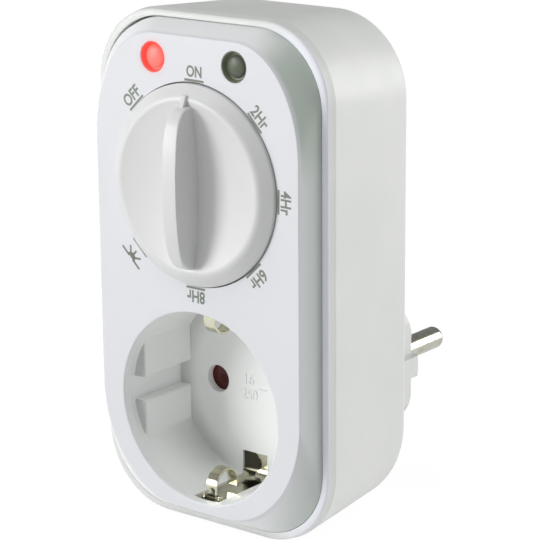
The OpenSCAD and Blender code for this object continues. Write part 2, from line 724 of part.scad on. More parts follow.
// Small pointer between the grip and the raised ring
module knob_pointer() {
    y0 = front_y - dish_h;
    along_x(-0.5, 0.5) polygon([[y0, grip_half - 0.3], [front_y - 4.5, grip_half - 0.3],
        [front_y - 4.6, grip_half + 1.3], [front_y - crest_h + 0.3, crest_r + 0.95], [y0, crest_r + 0.95]]);
}

// Spindle with its flat, and the notched rotor inside the switch
module switch_spindle() color("ivory") translate([0, 0, knob_up]) {
    top = board_y - switch_h;
    rotor_y = board_y - 4.8;
    difference() {
        rod_y(spindle_r, front_y + 0.8, rotor_y + EPS);
        translate([-5, front_y, spindle_flat]) cube([10, top - bush_h - front_y - 0.5, 5]);
    }
    difference() {
        rod_y(rotor_r, rotor_y, rotor_y + rotor_t);
        for (a = [0:45:315])
            rotate([0, a, 0]) rod_y(0.9, rotor_y - 1, rotor_y + rotor_t + 1, 0, rotor_r + 0.1);
    }
    rod_y(1.5, rotor_y, board_y - 1.0);
}

// Contact arm under the rotor
module switch_wiper() color("goldenrod") translate([0, 0, knob_up]) {
    y0 = board_y - 4.8 + rotor_t;
    difference() {
        union() {
            rod_y(4, y0, y0 + 0.3);
            translate([-1.2, y0, 0]) cube([2.4, 0.3, 8]);
            rod_y(1.2, y0, y0 + 0.7, 0, 7.2);
            rod_y(1.2, y0, y0 + 0.7, 0, 4.2);
        }
        rod_y(1.5 + FIT, y0 - 1, y0 + 2);
    }
}

module switch_body() color("dimgray") translate([0, 0, knob_up]) difference() {
    top = board_y - switch_h;
    union() {
        along_y(top, board_y) outline(switch_half, switch_half, -switch_half, 1.5, 1.5);
        rod_y(bush_r, top - bush_h, top + 1);
    }
    rod_y(spindle_r + FIT, top - bush_h - 1, board_y);
    rod_y(rotor_r + 0.7, board_y - 5.2, board_y - 1.0 + FIT);
    translate([-3.2, board_y - 5.2, -switch_half + 0.8]) cube([6.4, 4.2, 4]);
    rod_y(1.5 + FIT, board_y - 2, board_y + 1);
}

// Bent leaf whose bump stands at the mouth of one of the rotor's notches
module detent_spring() color("silver") translate([0, 0, knob_up]) {
    y0 = board_y - 4.6;
    z = -switch_half + 0.85;
    bump_r = 0.6;
    bump_z = -rotor_r - FIT - bump_r;
    along_y(y0, y0 + 2) {
        translate([-3, z]) square([6, 0.3]);
        translate([0, bump_z]) circle(bump_r);
        translate([-bump_r, z]) square([2 * bump_r, bump_z - z]);
    }
}

module circuit_board() color("seagreen") difference() {
    along_y(board_y + FIT, board_back_y)
        outline(board_half_w, board_top_z, board_foot_z, top_corner_r - wall - ledge_w - 1, board_corner_r);
    for (p = POSTS) rod_y(post_r + 0.5, board_y - 1, board_back_y + 1, p[0], p[1]);
    for (p = BOARD_SCREWS) rod_y(1.2, board_y - 1, board_back_y + 1, p[0], p[1]);
    for (p = LEADS) rod_y(p[2] + FIT, board_y - 1, board_back_y + 1, p[0], p[1]);
    for (s = [-1, 1])
        translate([s * pin_x - 1.2, board_y - 1, tab_z - 0.6]) cube([2.4, board_t + 2, 1.2]);
    translate([pin_x - 1.2, board_y - 1, live_tab_z - 0.6]) cube([2.4, board_t + 2, 1.2]);
}

// Wires of a component, from a level above the board down through it
module leads(list, y0) {
    for (p = list) rod_y(p[2], y0, board_back_y + lead_tail, p[0], p[1]);
}

module relay() color("royalblue") {
    along_y(board_y - part_gap - RELAY[2], board_y - part_gap)
        translate(RELAY_AT) square([RELAY[0], RELAY[1]]);
    leads(RELAY_LEADS, board_y - part_gap - EPS);
}

module dropper_capacitor() color("gold") {
    along_y(board_y - part_gap - DROPPER[2], board_y - part_gap)
        translate(DROPPER_AT) square([DROPPER[0], DROPPER[1]]);
    leads(DROPPER_LEADS, board_y - part_gap - EPS);
}

module smoothing_capacitor() color("black") {
    r = SMOOTHER[0] / 2;
    y1 = board_y - part_gap;
    y0 = y1 - SMOOTHER[2];
    turned_y(SMOOTHER_AT[0], SMOOTHER_AT[1]) polygon([[0, y0], [r - 0.4, y0], [r, y0 + 0.4],
        [r, y1 - 2.3], [r - 0.3, y1 - 1.9], [r - 0.3, y1 - 1.5], [r, y1 - 1.1], [r, y1], [0, y1]]);
    leads(SMOOTHER_LEADS, y1 - EPS);
}

module varistor() color("steelblue") {
    r = VARISTOR[1] / 2;
    translate([VARISTOR_AT[0], 0, VARISTOR_AT[1]]) along_x(-VARISTOR[0] / 2, VARISTOR[0] / 2)
        translate([board_y - VARISTOR[2] + r, 0]) circle(r);
    leads(VARISTOR_LEADS, board_y - VARISTOR[2] + r + 2);
}

module control_chip() color("black") translate([CHIP_AT[0], board_y, CHIP_AT[1]]) {
    translate([-2, -1.8, -2.5]) cube([4, 1.4, 5]);
    for (k = [-1.5:1.5], s = [-1, 1])
        translate([s > 0 ? 1.9 : -3, -1.1, k * 1.27 - 0.2]) cube([1.1, 1.1, 0.4]);
}

module diodes() color("dimgray") {
    for (x = DIODES_X) translate([x, board_y - 1.6, diodes_z]) {
        cylinder(r = 1.3, h = 4.8, center = true);
        cylinder(r = 0.25, h = 6.2, center = true);
    }
    leads(DIODE_LEADS, board_y - 2.0);
}

module resistors() color("tan") {
    for (x = RESISTORS_X) translate([x, board_y - 1.5, resistors_z]) rotate([0, 90, 0]) {
        cylinder(r = 1.1, h = 3.2, center = true);
        cylinder(r = 0.2, h = 4.2, center = true);
    }
    leads(RESISTOR_LEADS, board_y - 1.8);
}

// Small round lamp or sensor on two long leads
module leaded_lamp(x, r) {
    tip = front_y + 1.6;
    base = tip + 6.2;
    translate([x, tip + r, window_up]) intersection() {
        sphere(r);
        translate([-r, -r, -r]) cube([2 * r, r + EPS, 2 * r]);
    }
    rod_y(r, tip + r, base, x, window_up);
    rod_y(r + 0.35, base - 1, base, x, window_up);
    leads(lamp_leads(x), base - EPS);
}

module indicator_led() color("red") leaded_lamp(-window_x, 2);
module light_sensor() color("lightgray") leaded_lamp(window_x, 2);

// Cap that closes a window: a flush disc with a low dome, hollow behind, and a flange
module window_cap(x) {
    turned_y(x, window_up) difference() {
        union() {
            polygon([[0, front_y - 0.1], [window_r - 0.5, front_y - 0.1], [window_r - FIT, front_y + 0.2],
                [window_r - FIT, panel_back_y + FIT], [window_r + 0.75, panel_back_y + FIT],
                [window_r + 0.75, panel_back_y + 1.2], [0, panel_back_y + 1.2]]);
            intersection() {
                translate([0, front_y + 2.7]) circle(3.3);
                translate([0, front_y - 1]) square([2, 2]);
            }
        }
        translate([0, front_y + 1.2]) square([2.35, 5]);
    }
}

module indicator_lens() color("red") window_cap(-window_x);
module sensor_lens() color("gray") window_cap(window_x);

module cover_screws() color("silver") for (p = POSTS) {
    head_y = rear_y - screw_head_h - 0.3 + FIT;
    difference() {
        union() {
            rod_y(screw_head_r, head_y, head_y + screw_head_h, p[0], p[1]);
            rod_y(screw_r, cover_in_y - 11, head_y + EPS, p[0], p[1]);
        }
        for (a = [0, 90]) translate([p[0], 0, p[1]]) rotate([0, a, 0])
            translate([-0.35, head_y + 0.7, -1.6]) cube([0.7, 2, 3.2]);
    }
}

module small_screw(p, y_seat, len, dir) {
    translate([p[0], y_seat, p[1]]) rotate([dir > 0 ? -90 : 90, 0, 0]) difference() {
        union() {
            cylinder(r = 1.7, h = 1.1);
            translate([0, 0, -len]) cylinder(r = 0.75, h = len + EPS);
        }
        translate([-0.25, -2, 0.6]) cube([0.5, 4, 1]);
    }
}

module board_screws() color("silver") for (p = BOARD_SCREWS)
    small_screw(p, board_y, board_screw_len, -1);

module carrier_screws() color("silver") for (p = CARRIER_SCREWS)
    small_screw(p, carrier_front_y + carrier_flange_t - 1.3 + FIT, 4.4, 1);

housing();
rear_cover();
front_panel();
socket_cup();
contact_carrier();
shutter();
shutter_spring();
earth_bracket();
live_contact();
neutral_contact();
live_pin();
neutral_pin();
live_bar();
plug_earth_contacts();
knob();
switch_spindle();
switch_wiper();
switch_body();
detent_spring();
circuit_board();
relay();
dropper_capacitor();
smoothing_capacitor();
varistor();
control_chip();
diodes();
resistors();
indicator_led();
light_sensor();
indicator_lens();
sensor_lens();
cover_screws();
board_screws();
carrier_screws();
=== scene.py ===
"""Plug-in timer switch: visual model, finishes, studio and camera.

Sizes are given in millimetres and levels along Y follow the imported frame: the front faces -Y,
+Z is up, and the origin is the middle of the plug's end face.
"""
import logging
import math
from contextlib import contextmanager
from dataclasses import astuple, dataclass, field, replace
from enum import Enum
from typing import Callable, Iterator, Optional, Sequence

import bmesh
import bpy
from mathutils import Matrix, Vector


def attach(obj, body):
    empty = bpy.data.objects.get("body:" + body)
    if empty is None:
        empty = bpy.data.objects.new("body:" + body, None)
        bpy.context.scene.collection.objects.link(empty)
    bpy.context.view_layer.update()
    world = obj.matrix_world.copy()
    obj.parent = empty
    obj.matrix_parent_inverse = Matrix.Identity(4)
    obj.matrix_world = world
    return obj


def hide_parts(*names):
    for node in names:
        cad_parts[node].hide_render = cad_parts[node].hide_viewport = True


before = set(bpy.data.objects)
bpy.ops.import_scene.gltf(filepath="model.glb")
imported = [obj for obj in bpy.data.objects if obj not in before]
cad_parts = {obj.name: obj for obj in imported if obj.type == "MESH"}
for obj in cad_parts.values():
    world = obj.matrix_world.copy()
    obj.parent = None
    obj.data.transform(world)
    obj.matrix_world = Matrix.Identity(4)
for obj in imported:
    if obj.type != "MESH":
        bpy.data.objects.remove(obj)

logging.basicConfig(level=logging.INFO, format="%(message)s")
LOG = logging.getLogger("timer_switch")

Piece = bpy.types.Object
Socket = bpy.types.NodeSocket
Colour = tuple[float, float, float]
Place = tuple[float, float, float]
Point = tuple[float, float]
Span = tuple[float, float]

MM = 0.001
# How near to a place a point counts as on it
NEAR = 0.02
# How far two rings on one level stand apart
HAIR = 0.02
# How far a cutter stands clear of what it cuts
CLEAR = 1.0
# The part of its range in which a noise varies
NOISE_SPAN = (0.3, 0.7)

# Levels along Y, and places that several sub-assemblies share
REAR_Y = -17.5
RIM_Y = -44.9
LEDGE_Y = -41.5
FRONT_Y = -49.6
PANEL_BACK_Y = -47.6
CUP_FLOOR_Y = -32.1
CUP_BACK_Y = -30.3
COVER_IN_Y = -21.1
KNOB_UP = 44.9
CUP_R = 19.5
WINDOW_X = 9.95
WINDOW_UP = 68.7
# Where the right side of the front begins and where it is reached, along X
RIGHT_SIDE = (12.0, 23.0)


class Body(Enum):
    """The bodies that the pieces ride on."""

    CASE = "case"
    SELECTOR = "selector"
    SHUTTER = "socket_shutter"


class Kind(Enum):
    """What is picked in edit mode."""

    POINTS = "VERT"
    EDGES = "EDGE"


class Solids(Enum):
    """What one solid does to another."""

    CUTS = "DIFFERENCE"
    FUSES = "UNION"


def srgb(red: int, green: int, blue: int) -> Colour:
    """Turns a colour written from 0 to 255 into linear values.

    Args:
        red: its red.
        green: its green.
        blue: its blue.

    Returns:
        The linear colour.
    """
    def linear(level: int) -> float:
        """Linear value of one channel."""
        part = level / 255
        return part / 12.92 if part <= 0.04045 else ((part + 0.055) / 1.055) ** 2.4
    return linear(red), linear(green), linear(blue)


def darker(colour: Colour, share: float) -> Colour:
    """A colour brought down to a share of its light."""
    red, green, blue = colour
    return share * red, share * green, share * blue


def arc(centre: Point, radius: float, start: float, end: float, steps: int) -> list[Point]:
    """Points on an arc in a turned profile.

    Args:
        centre: radius and Y level of the arc's centre.
        radius: radius of the arc.
        start: angle of the first point in degrees, 0 pointing outwards and 90 to the rear.
        end: angle of the last point in degrees.
        steps: number of steps between the two.

    Returns:
        The points as radius and Y level.
    """
    turn = [math.radians(start + (end - start) * k / steps) for k in range(steps + 1)]
    return [(centre[0] + radius * math.cos(a), centre[1] + radius * math.sin(a)) for a in turn]


def eased_hole(radius: float, ease: float, face: float, end: float, steps: int) -> list[Point]:
    """Profile of a cutter for a hole with a rounded edge.

    Args:
        radius: radius of the hole.
        ease: radius of its rounded edge.
        face: Y level of the face that it goes into.
        end: Y level of its end.
        steps: segments of the rounded edge.

    Returns:
        The points as radius and Y level, from clear of the face inwards.
    """
    wide = radius + ease
    rounded = arc((wide, face + ease), ease, 270, 180, steps)[1:]
    return [(wide, face - CLEAR), (wide, face), *rounded, (radius, end)]


# ---------------------------------------------------------------------------- bench


@dataclass(frozen=True)
class Outline:
    """Rounded rectangle with one corner radius at its top and another at its foot.

    The corners can be made taller than they are wide.
    """

    half_w: float
    top: float
    foot: float
    top_r: float
    foot_r: float
    top_tall: float = 1.0
    foot_tall: float = 1.0

    def inset(self, by: float, least: float = 0.4) -> "Outline":
        """The outline moved inwards, with no corner radius under the least one."""
        return Outline(self.half_w - by, self.top - by, self.foot + by,
                       max(self.top_r - by, least), max(self.foot_r - by, least),
                       self.top_tall, self.foot_tall)

    def blend(self, other: "Outline", share: float) -> "Outline":
        """The outline part of the way towards another one."""
        pairs = zip(astuple(self), astuple(other))
        return Outline(*(a + (b - a) * share for a, b in pairs))


class Bench:
    """The bench where each piece's mesh is added, shaped, cut and finished."""

    @staticmethod
    def take(*pieces: Piece) -> None:
        """Selects these objects only and makes the first one active.

        Args:
            pieces: the objects, or none to deselect all.
        """
        if bpy.context.object and bpy.context.object.mode != "OBJECT":
            bpy.ops.object.mode_set(mode="OBJECT")
        bpy.ops.object.select_all(action="DESELECT")
        for piece in pieces:
            piece.select_set(True)
        bpy.context.view_layer.objects.active = pieces[0] if pieces else None

    @staticmethod
    @contextmanager
    def editing(piece: Piece) -> Iterator[None]:
        """Holds the piece in edit mode with everything deselected.

        Args:
            piece: the object.

        Returns:
            A context that ends in object mode.
        """
        Bench.take(piece)
        bpy.ops.object.mode_set(mode="EDIT")
        bpy.ops.mesh.select_all(action="DESELECT")
        yield
        bpy.ops.object.mode_set(mode="OBJECT")

    @staticmethod
    def pick(kind: Kind, test: Callable[[Vector], bool]) -> None:
        """Selects what lies at a place, in edit mode.

        Args:
            kind: points or edges. An edge counts if both its ends do.
            test: says whether a point in millimetres is in the place.
        """
        bpy.ops.mesh.select_all(action="DESELECT")
        bpy.ops.mesh.select_mode(type=kind.value)
        mesh = bmesh.from_edit_mesh(bpy.context.object.data)
        for part in mesh.verts if kind is Kind.POINTS else mesh.edges:
            ends = (part,) if kind is Kind.POINTS else part.verts
            if all(test(end.co / MM) for end in ends):
                part.select_set(True)
        mesh.select_flush_mode()
        bmesh.update_edit_mesh(bpy.context.object.data)

    @staticmethod
    def pick_rings(piece: Piece, *numbers: int) -> None:
        """Selects rings of a skin, in edit mode.

        Args:
            piece: the skin.
            numbers: the rings' numbers.
        """
        bpy.ops.mesh.select_mode(type="VERT")
        bpy.ops.mesh.select_all(action="DESELECT")
        for number in numbers:
            piece.vertex_groups.active_index = piece.vertex_groups[str(number)].index
            bpy.ops.object.vertex_group_select()

    @staticmethod
    def number_ring(ring: Piece, number: int) -> None:
        """Marks all of a ring with its number, in edit mode.

        Args:
            ring: the ring.
            number: its number.
        """
        bpy.ops.mesh.select_all(action="SELECT")
        bpy.ops.object.vertex_group_assign_new()
        ring.vertex_groups[-1].name = str(number)

    @staticmethod
    def face_outwards() -> None:
        """Turns all the faces outwards, in edit mode."""
        bpy.ops.mesh.select_all(action="SELECT")
        bpy.ops.mesh.normals_make_consistent(inside=False)

    @staticmethod
    def ring(outline: Outline, y: float, steps: int, number: int) -> Piece:
        """A ring of edges: a plane whose four corners are rounded.

        Args:
            outline: size of the ring.
            y: its level.
            steps: segments of each corner.
            number: its number among the rings of a skin.

        Returns:
            The new object.
        """
        Bench.take()
        height = outline.top - outline.foot
        middle = outline.foot + height / 2
        bpy.ops.mesh.primitive_plane_add(size=1, location=(0, y * MM, middle * MM),
                                         rotation=(math.pi / 2, 0, 0))
        ring = bpy.context.object
        ring.scale = (2 * outline.half_w * MM, height * MM, 1)
        bpy.ops.object.transform_apply()
        ends = ((outline.top, outline.top_r, outline.top_tall),
                (outline.foot, outline.foot_r, outline.foot_tall))
        with Bench.editing(ring):
            for edge, radius, _ in ends:
                Bench.pick(Kind.POINTS, lambda p: abs(p.z - edge) < NEAR
                           and abs(abs(p.x) - outline.half_w) < NEAR)
                bpy.ops.mesh.bevel(offset_type="ABSOLUTE", offset=radius * MM, segments=steps,
                                   affect="VERTICES", profile=0.5, clamp_overlap=False)
            for edge, radius, tall in ends:
                Bench.pick(Kind.POINTS, lambda p: abs(p.z - edge) < radius + NEAR)
                bpy.ops.transform.resize(value=(1, 1, tall), center_override=(0, 0, edge * MM))
            bpy.ops.mesh.select_all(action="SELECT")
            bpy.ops.mesh.delete(type="ONLY_FACE")
            Bench.number_ring(ring, number)
        return ring

    @staticmethod
    def skin(rings: Sequence[Piece], closed: bool = False) -> Piece:
        """A skin bridged from ring to ring.

        Args:
            rings: the rings, each marked with its number.
            closed: bridges the last ring to the first one, where False caps both ends.

        Returns:
            The skin.
        """
        Bench.join(*rings)
        piece, count = rings[0], len(rings)
        with Bench.editing(piece):
            for k in range(count if closed else count - 1):
                Bench.pick_rings(piece, k, (k + 1) % count)
                bpy.ops.mesh.bridge_edge_loops()
            for k in () if closed else (0, count - 1):
                Bench.pick_rings(piece, k)
                bpy.ops.mesh.edge_face_add()
            Bench.face_outwards()
        return piece

    @staticmethod
    def loft(rings: Sequence[tuple[Outline, float]], steps: int, closed: bool = False) -> Piece:
        """A skin over outlines at their levels.

        Args:
            rings: outline and Y level of each ring, in order.
            steps: segments of each corner.
            closed: bridges the last ring to the first one, where False caps both ends.

        Returns:
            The new object.
        """
        # rings on one level stand a hair apart, so that each is bridged the right way round
        levels: list[float] = []
        for _, y in rings:
            levels.append(y + HAIR if levels and abs(y - levels[-1]) < HAIR / 2 else y)
        made = [Bench.ring(rings[k][0], y, steps, k) for k, y in enumerate(levels)]
        return Bench.skin(made, closed)

    @staticmethod
    def turned(profile: Sequence[Point], x: float = 0.0, z: float = 0.0,
               steps: int = 96) -> Piece:
        """A solid turned about an axis along Y: a disc that is extruded and resized.

        Args:
            profile: radius and Y level of each ring. A last radius of 0 closes to a point.
            x: place of the axis.
            z: height of the axis.
            steps: segments around the axis.

        Returns:
            The new object.
        """
        Bench.take()
        radius, level = profile[0]
        bpy.ops.mesh.primitive_circle_add(vertices=steps, radius=radius * MM, fill_type="NGON",
                                          location=(x * MM, level * MM, z * MM),
                                          rotation=(math.pi / 2, 0, 0))
        piece = bpy.context.object
        bpy.ops.object.transform_apply()
        with Bench.editing(piece):
            bpy.ops.mesh.select_all(action="SELECT")
            for next_radius, next_level in profile[1:]:
                bpy.ops.mesh.extrude_region_move(
                    TRANSFORM_OT_translate={"value": (0, (next_level - level) * MM, 0)})
                if next_radius > 0:
                    grow = next_radius / radius
                    bpy.ops.transform.resize(value=(grow, 1, grow),
                                             center_override=(x * MM, next_level * MM, z * MM))
                    radius = next_radius
                else:
                    bpy.ops.mesh.merge(type="CENTER")
                level = next_level
            Bench.face_outwards()
        return piece

    @staticmethod
    def drum(radius: float, span: Span, x: float = 0.0, z: float = 0.0, steps: int = 96) -> Piece:
        """A plain drum between two Y levels, as a start or a cutter."""
        return Bench.turned([(radius, y) for y in span], x, z, steps)

    @staticmethod
    def block(low: Sequence[float], high: Sequence[float]) -> Piece:
        """A square block, as a start or a cutter.

        Args:
            low: its left, front and lower corner.
            high: its right, rear and upper corner.

        Returns:
            The new object.
        """
        Bench.take()
        centre = [(a + b) / 2 * MM for a, b in zip(low, high)]
        bpy.ops.mesh.primitive_cube_add(size=1, location=centre)
        piece = bpy.context.object
        piece.scale = [(b - a) * MM for a, b in zip(low, high)]
        bpy.ops.object.transform_apply()
        return piece

    @staticmethod
    def copied(node: str) -> Piece:
        """A merged copy of a node's mesh, with its flat faces made whole.

        Args:
            node: name of the node.

        Returns:
            The new object.
        """
        piece = bpy.data.objects.new("copy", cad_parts[node].data.copy())
        bpy.context.scene.collection.objects.link(piece)
        with Bench.editing(piece):
            bpy.ops.mesh.select_all(action="SELECT")
            bpy.ops.mesh.customdata_custom_splitnormals_clear()
            bpy.ops.mesh.remove_doubles(threshold=2e-6)
            bpy.ops.mesh.dissolve_limited(angle_limit=math.radians(0.3))
        return piece

    @staticmethod
    def combine(piece: Piece, others: Sequence[Piece], how: Solids) -> None:
        """Works other solids into the piece and clears them away.

        Args:
            piece: the object.
            others: the other solids.
            how: what each of them does to the piece.
        """
        for other in others:
            Bench.take(piece)
            work = piece.modifiers.new("combine", "BOOLEAN")
            work.operation = how.value
            work.solver = "EXACT"
            work.object = other
            bpy.ops.object.modifier_apply(modifier=work.name)
            bpy.data.objects.remove(other, do_unlink=True)

    @staticmethod
    def cut(piece: Piece, *cutters: Piece) -> None:
        """Cuts solids off the piece."""
        Bench.combine(piece, cutters, Solids.CUTS)

    @staticmethod
    def fuse(piece: Piece, *others: Piece) -> None:
        """Fuses solids onto the piece."""
        Bench.combine(piece, others, Solids.FUSES)

    @staticmethod
    def join(piece: Piece, *others: Piece) -> None:
        """Joins meshes into the piece as they are."""
        Bench.take(piece, *others)
        bpy.ops.object.join()

    @staticmethod
    def round_edges(piece: Piece, test: Callable[[Vector], bool], width: float,
                    steps: int) -> None:
        """Rounds the edges that lie at a place.

        Args:
            piece: the object.
            test: says whether a point in millimetres is in the place.
            width: width of the rounding.
            steps: its segments.
        """
        with Bench.editing(piece):
            Bench.pick(Kind.EDGES, test)
            bpy.ops.mesh.bevel(offset=width * MM, segments=steps, affect="EDGES", profile=0.5,
                               clamp_overlap=True)

    @staticmethod
    def soften(piece: Piece, width: float, angle: float, steps: int = 2) -> None:
        """Rounds all the sharp edges.

        Args:
            piece: the object.
            width: width of the rounding.
            angle: edges sharper than this are rounded, in degrees.
            steps: its segments.
        """
        Bench.take(piece)
        bevel = piece.modifiers.new("soften", "BEVEL")
        bevel.width = width * MM
        bevel.segments = steps
        bevel.limit_method = "ANGLE"
        bevel.angle_limit = math.radians(angle)
        bevel.use_clamp_overlap = True
        bevel.miter_outer = "MITER_ARC"
        bpy.ops.object.modifier_apply(modifier=bevel.name)

    @staticmethod
    def smooth(piece: Piece, angle: float) -> None:
        """Shades a finished shape smooth.

        Args:
            piece: the object.
            angle: edges sharper than this stay sharp, in degrees.
        """
        Bench.take(piece)
        bpy.ops.object.shade_smooth_by_angle(angle=math.radians(angle))
        weigh = piece.modifiers.new("weigh", "WEIGHTED_NORMAL")
        weigh.keep_sharp = True
        weigh.weight = 60
        bpy.ops.object.modifier_apply(modifier=weigh.name)
        piece.vertex_groups.clear()


# ---------------------------------------------------------------------------- finishes


class NodeSheet:
    """A new material with its shader, and short ways to wire nodes into it."""

    def __init__(self, name: str) -> None:
        """Starts the material.

        Args:
            name: its name.
        """
        self.material = bpy.data.materials.new(name)
        self.material.use_nodes = True
        self.tree = self.material.node_tree
        self.shader = self.tree.nodes["Principled BSDF"]
        self.place = self.add("ShaderNodeTexCoord").outputs["Object"]

    @property
    def colour(self) -> Socket:
        """The colour that the shader has so far."""
        return self.shader.inputs["Base Color"].links[0].from_socket

    def add(self, kind: str, **values: object) -> bpy.types.Node:
        """Adds a node.

        Args:
            kind: its type.
            values: its properties.

        Returns:
            The node.
        """
        node = self.tree.nodes.new(kind)
        for key, value in values.items():
            setattr(node, key, value)
        return node

    def put(self, target: Socket, value: object) -> None:
        """Gives an input its value.

        Args:
            target: the input.
            value: an output to link to it, or a colour or number to set it to.
        """
        if isinstance(value, Socket):
            self.tree.links.new(value, target)
        else:
            target.default_value = (*value, 1) if isinstance(value, tuple) else value

    def feed(self, name: str, value: object) -> None:
        """Gives one of the shader's inputs its value."""
        self.put(self.shader.inputs[name], value)

    def noise(self, scale: float, detail: float = 3.0, place: Optional[Socket] = None) -> Socket:
        """Noise in object coordinates.

        Args:
            scale: its scale per metre.
            detail: its detail.
            place: coordinates to use in their place.

        Returns:
            The noise, from 0 to 1.
        """
        node = self.add("ShaderNodeTexNoise")
        node.inputs["Scale"].default_value = scale
        node.inputs["Detail"].default_value = detail
        self.put(node.inputs["Vector"], place or self.place)
        return node.outputs["Fac"]

    def stretched(self, scale: Sequence[float]) -> Socket:
        """Object coordinates, each scaled on its own.

        Args:
            scale: the scale of each.

        Returns:
            The scaled coordinates.
        """
        node = self.add("ShaderNodeMapping")
        node.inputs["Scale"].default_value = scale
        self.put(node.inputs["Vector"], self.place)
        return node.outputs["Vector"]

    def ramp(self, value: Socket, span: Span, low: float = 0.0, high: float = 1.0,
             smooth: bool = False) -> Socket:
        """Maps a value from one range to another and clamps it.

        Args:
            value: the value.
            span: range of the value.
            low: what the range begins with.
            high: what it ends with.
            smooth: eases both ends.

        Returns:
            The mapped value.
        """
        node = self.add("ShaderNodeMapRange", clamp=True)
        if smooth:
            node.interpolation_type = "SMOOTHSTEP"
        for key, number in zip(("From Min", "From Max", "To Min", "To Max"), (*span, low, high)):
            node.inputs[key].default_value = number
        self.put(node.inputs["Value"], value)
        return node.outputs["Result"]

    def over(self, value: Socket, span: Span, low: float = 0.0, high: float = 1.0,
             smooth: bool = False) -> Socket:
        """The same as ramp, over a range that is given in millimetres."""
        return self.ramp(value, (span[0] * MM, span[1] * MM), low, high, smooth)

    def mottle(self, scale: float, detail: float, low: float = 0.0, high: float = 1.0) -> Socket:
        """A noise spread between two values."""
        return self.ramp(self.noise(scale, detail), NOISE_SPAN, low, high)

    def blend(self, share: Socket, first: object, second: object) -> Socket:
        """Blends two colours.

        Args:
            share: share of the second one.
            first: a colour or an output.
            second: a colour or an output.

        Returns:
            The blended colour.
        """
        node = self.add("ShaderNodeMix", data_type="RGBA")
        for index, value in ((0, share), (6, first), (7, second)):
            self.put(node.inputs[index], value)
        return node.outputs[2]

    def axis(self, name: str) -> Socket:
        """One object coordinate, in metres.

        Args:
            name: X, Y or Z.

        Returns:
            The coordinate.
        """
        node = self.add("ShaderNodeSeparateXYZ")
        self.put(node.inputs[0], self.place)
        return node.outputs[name]

    def maths(self, operation: str, first: object, second: object) -> Socket:
        """Arithmetic on two numbers or outputs.

        Args:
            operation: what is done.
            first: the first one.
            second: the second one.

        Returns:
            The result.
        """
        node = self.add("ShaderNodeMath", operation=operation)
        self.put(node.inputs[0], first)
        self.put(node.inputs[1], second)
        return node.outputs[0]

    def times(self, first: object, second: object) -> Socket:
        """The product of two numbers or outputs."""
        return self.maths("MULTIPLY", first, second)

    def larger(self, first: object, second: object) -> Socket:
        """The larger of two numbers or outputs."""
        return self.maths("MAXIMUM", first, second)

    def distance(self, centre: Place, flat: bool = False) -> Socket:
        """Distance from a point, in metres.

        Args:
            centre: the point.
            flat: measures from the axis along Y through it.

        Returns:
            The distance.
        """
        node = self.add("ShaderNodeVectorMath", operation="DISTANCE")
        self.put(node.inputs[0], self.stretched((1, 0, 1)) if flat else self.place)
        node.inputs[1].default_value = [c * MM for c in centre]
        return node.outputs["Value"]

    def to_right(self) -> Socket:
        """Share that grows towards the right side of the front."""
        return self.over(self.axis("X"), RIGHT_SIDE, smooth=True)

    def bump(self, height: Socket, strength: float, depth: float) -> None:
        """Raises the surface by a height pattern.

        Args:
            height: the pattern.
            strength: its strength.
            depth: its depth.
        """
        node = self.add("ShaderNodeBump")
        node.inputs["Strength"].default_value = strength
        node.inputs["Distance"].default_value = depth * MM
        self.put(node.inputs["Height"], height)
        self.feed("Normal", node.outputs[0])

    def paint(self, colour: Socket) -> None:
        """Gives the shader its colour."""
        self.feed("Base Color", colour)


@dataclass(frozen=True)
class Finish:
    """A finish, which is laid on a material's sheet."""

    def lay(self, sheet: NodeSheet) -> None:
        """Lays the finish's nodes."""
        raise NotImplementedError

    def build(self, name: str) -> bpy.types.Material:
        """The finished material.

        Args:
            name: its name.

        Returns:
            The material.
        """
        sheet = NodeSheet(name)
        self.lay(sheet)
        return sheet.material


@dataclass(frozen=True)
class MouldedPlastic(Finish):
    """Moulded plastic with a fine spark-eroded grain and faint cloudiness."""

    tone: Colour
    cloud: Colour
    roughness: float
    grain: float
    # Painted glow: emission in the plastic's own tone, standing in for light that comes through it
    painted_glow: float = 0.0
    specular: float = 0.4
    wear: float = 0.05
    cloud_span: Span = (0.35, 0.65)
    cloud_scale: float = 55.0
    wear_scale: float = 240.0
    grain_scale: float = 5200.0

    def lay(self, sheet: NodeSheet) -> None:
        """Lays the cloudy colour, the painted glow, the wear and the grain.

        Args:
            sheet: the material's sheet.
        """
        sheet.feed("Specular IOR Level", self.specular)
        sheet.feed("Emission Color", self.tone)
        sheet.feed("Emission Strength", self.painted_glow)
        clouds = sheet.ramp(sheet.noise(self.cloud_scale, 4.0), self.cloud_span)
        sheet.paint(sheet.blend(clouds, self.tone, self.cloud))
        sheet.feed("Roughness", sheet.mottle(self.wear_scale, 3.0, self.roughness - self.wear,
                                             self.roughness + self.wear))
        sheet.bump(sheet.noise(self.grain_scale, 2.0), 0.5, self.grain)


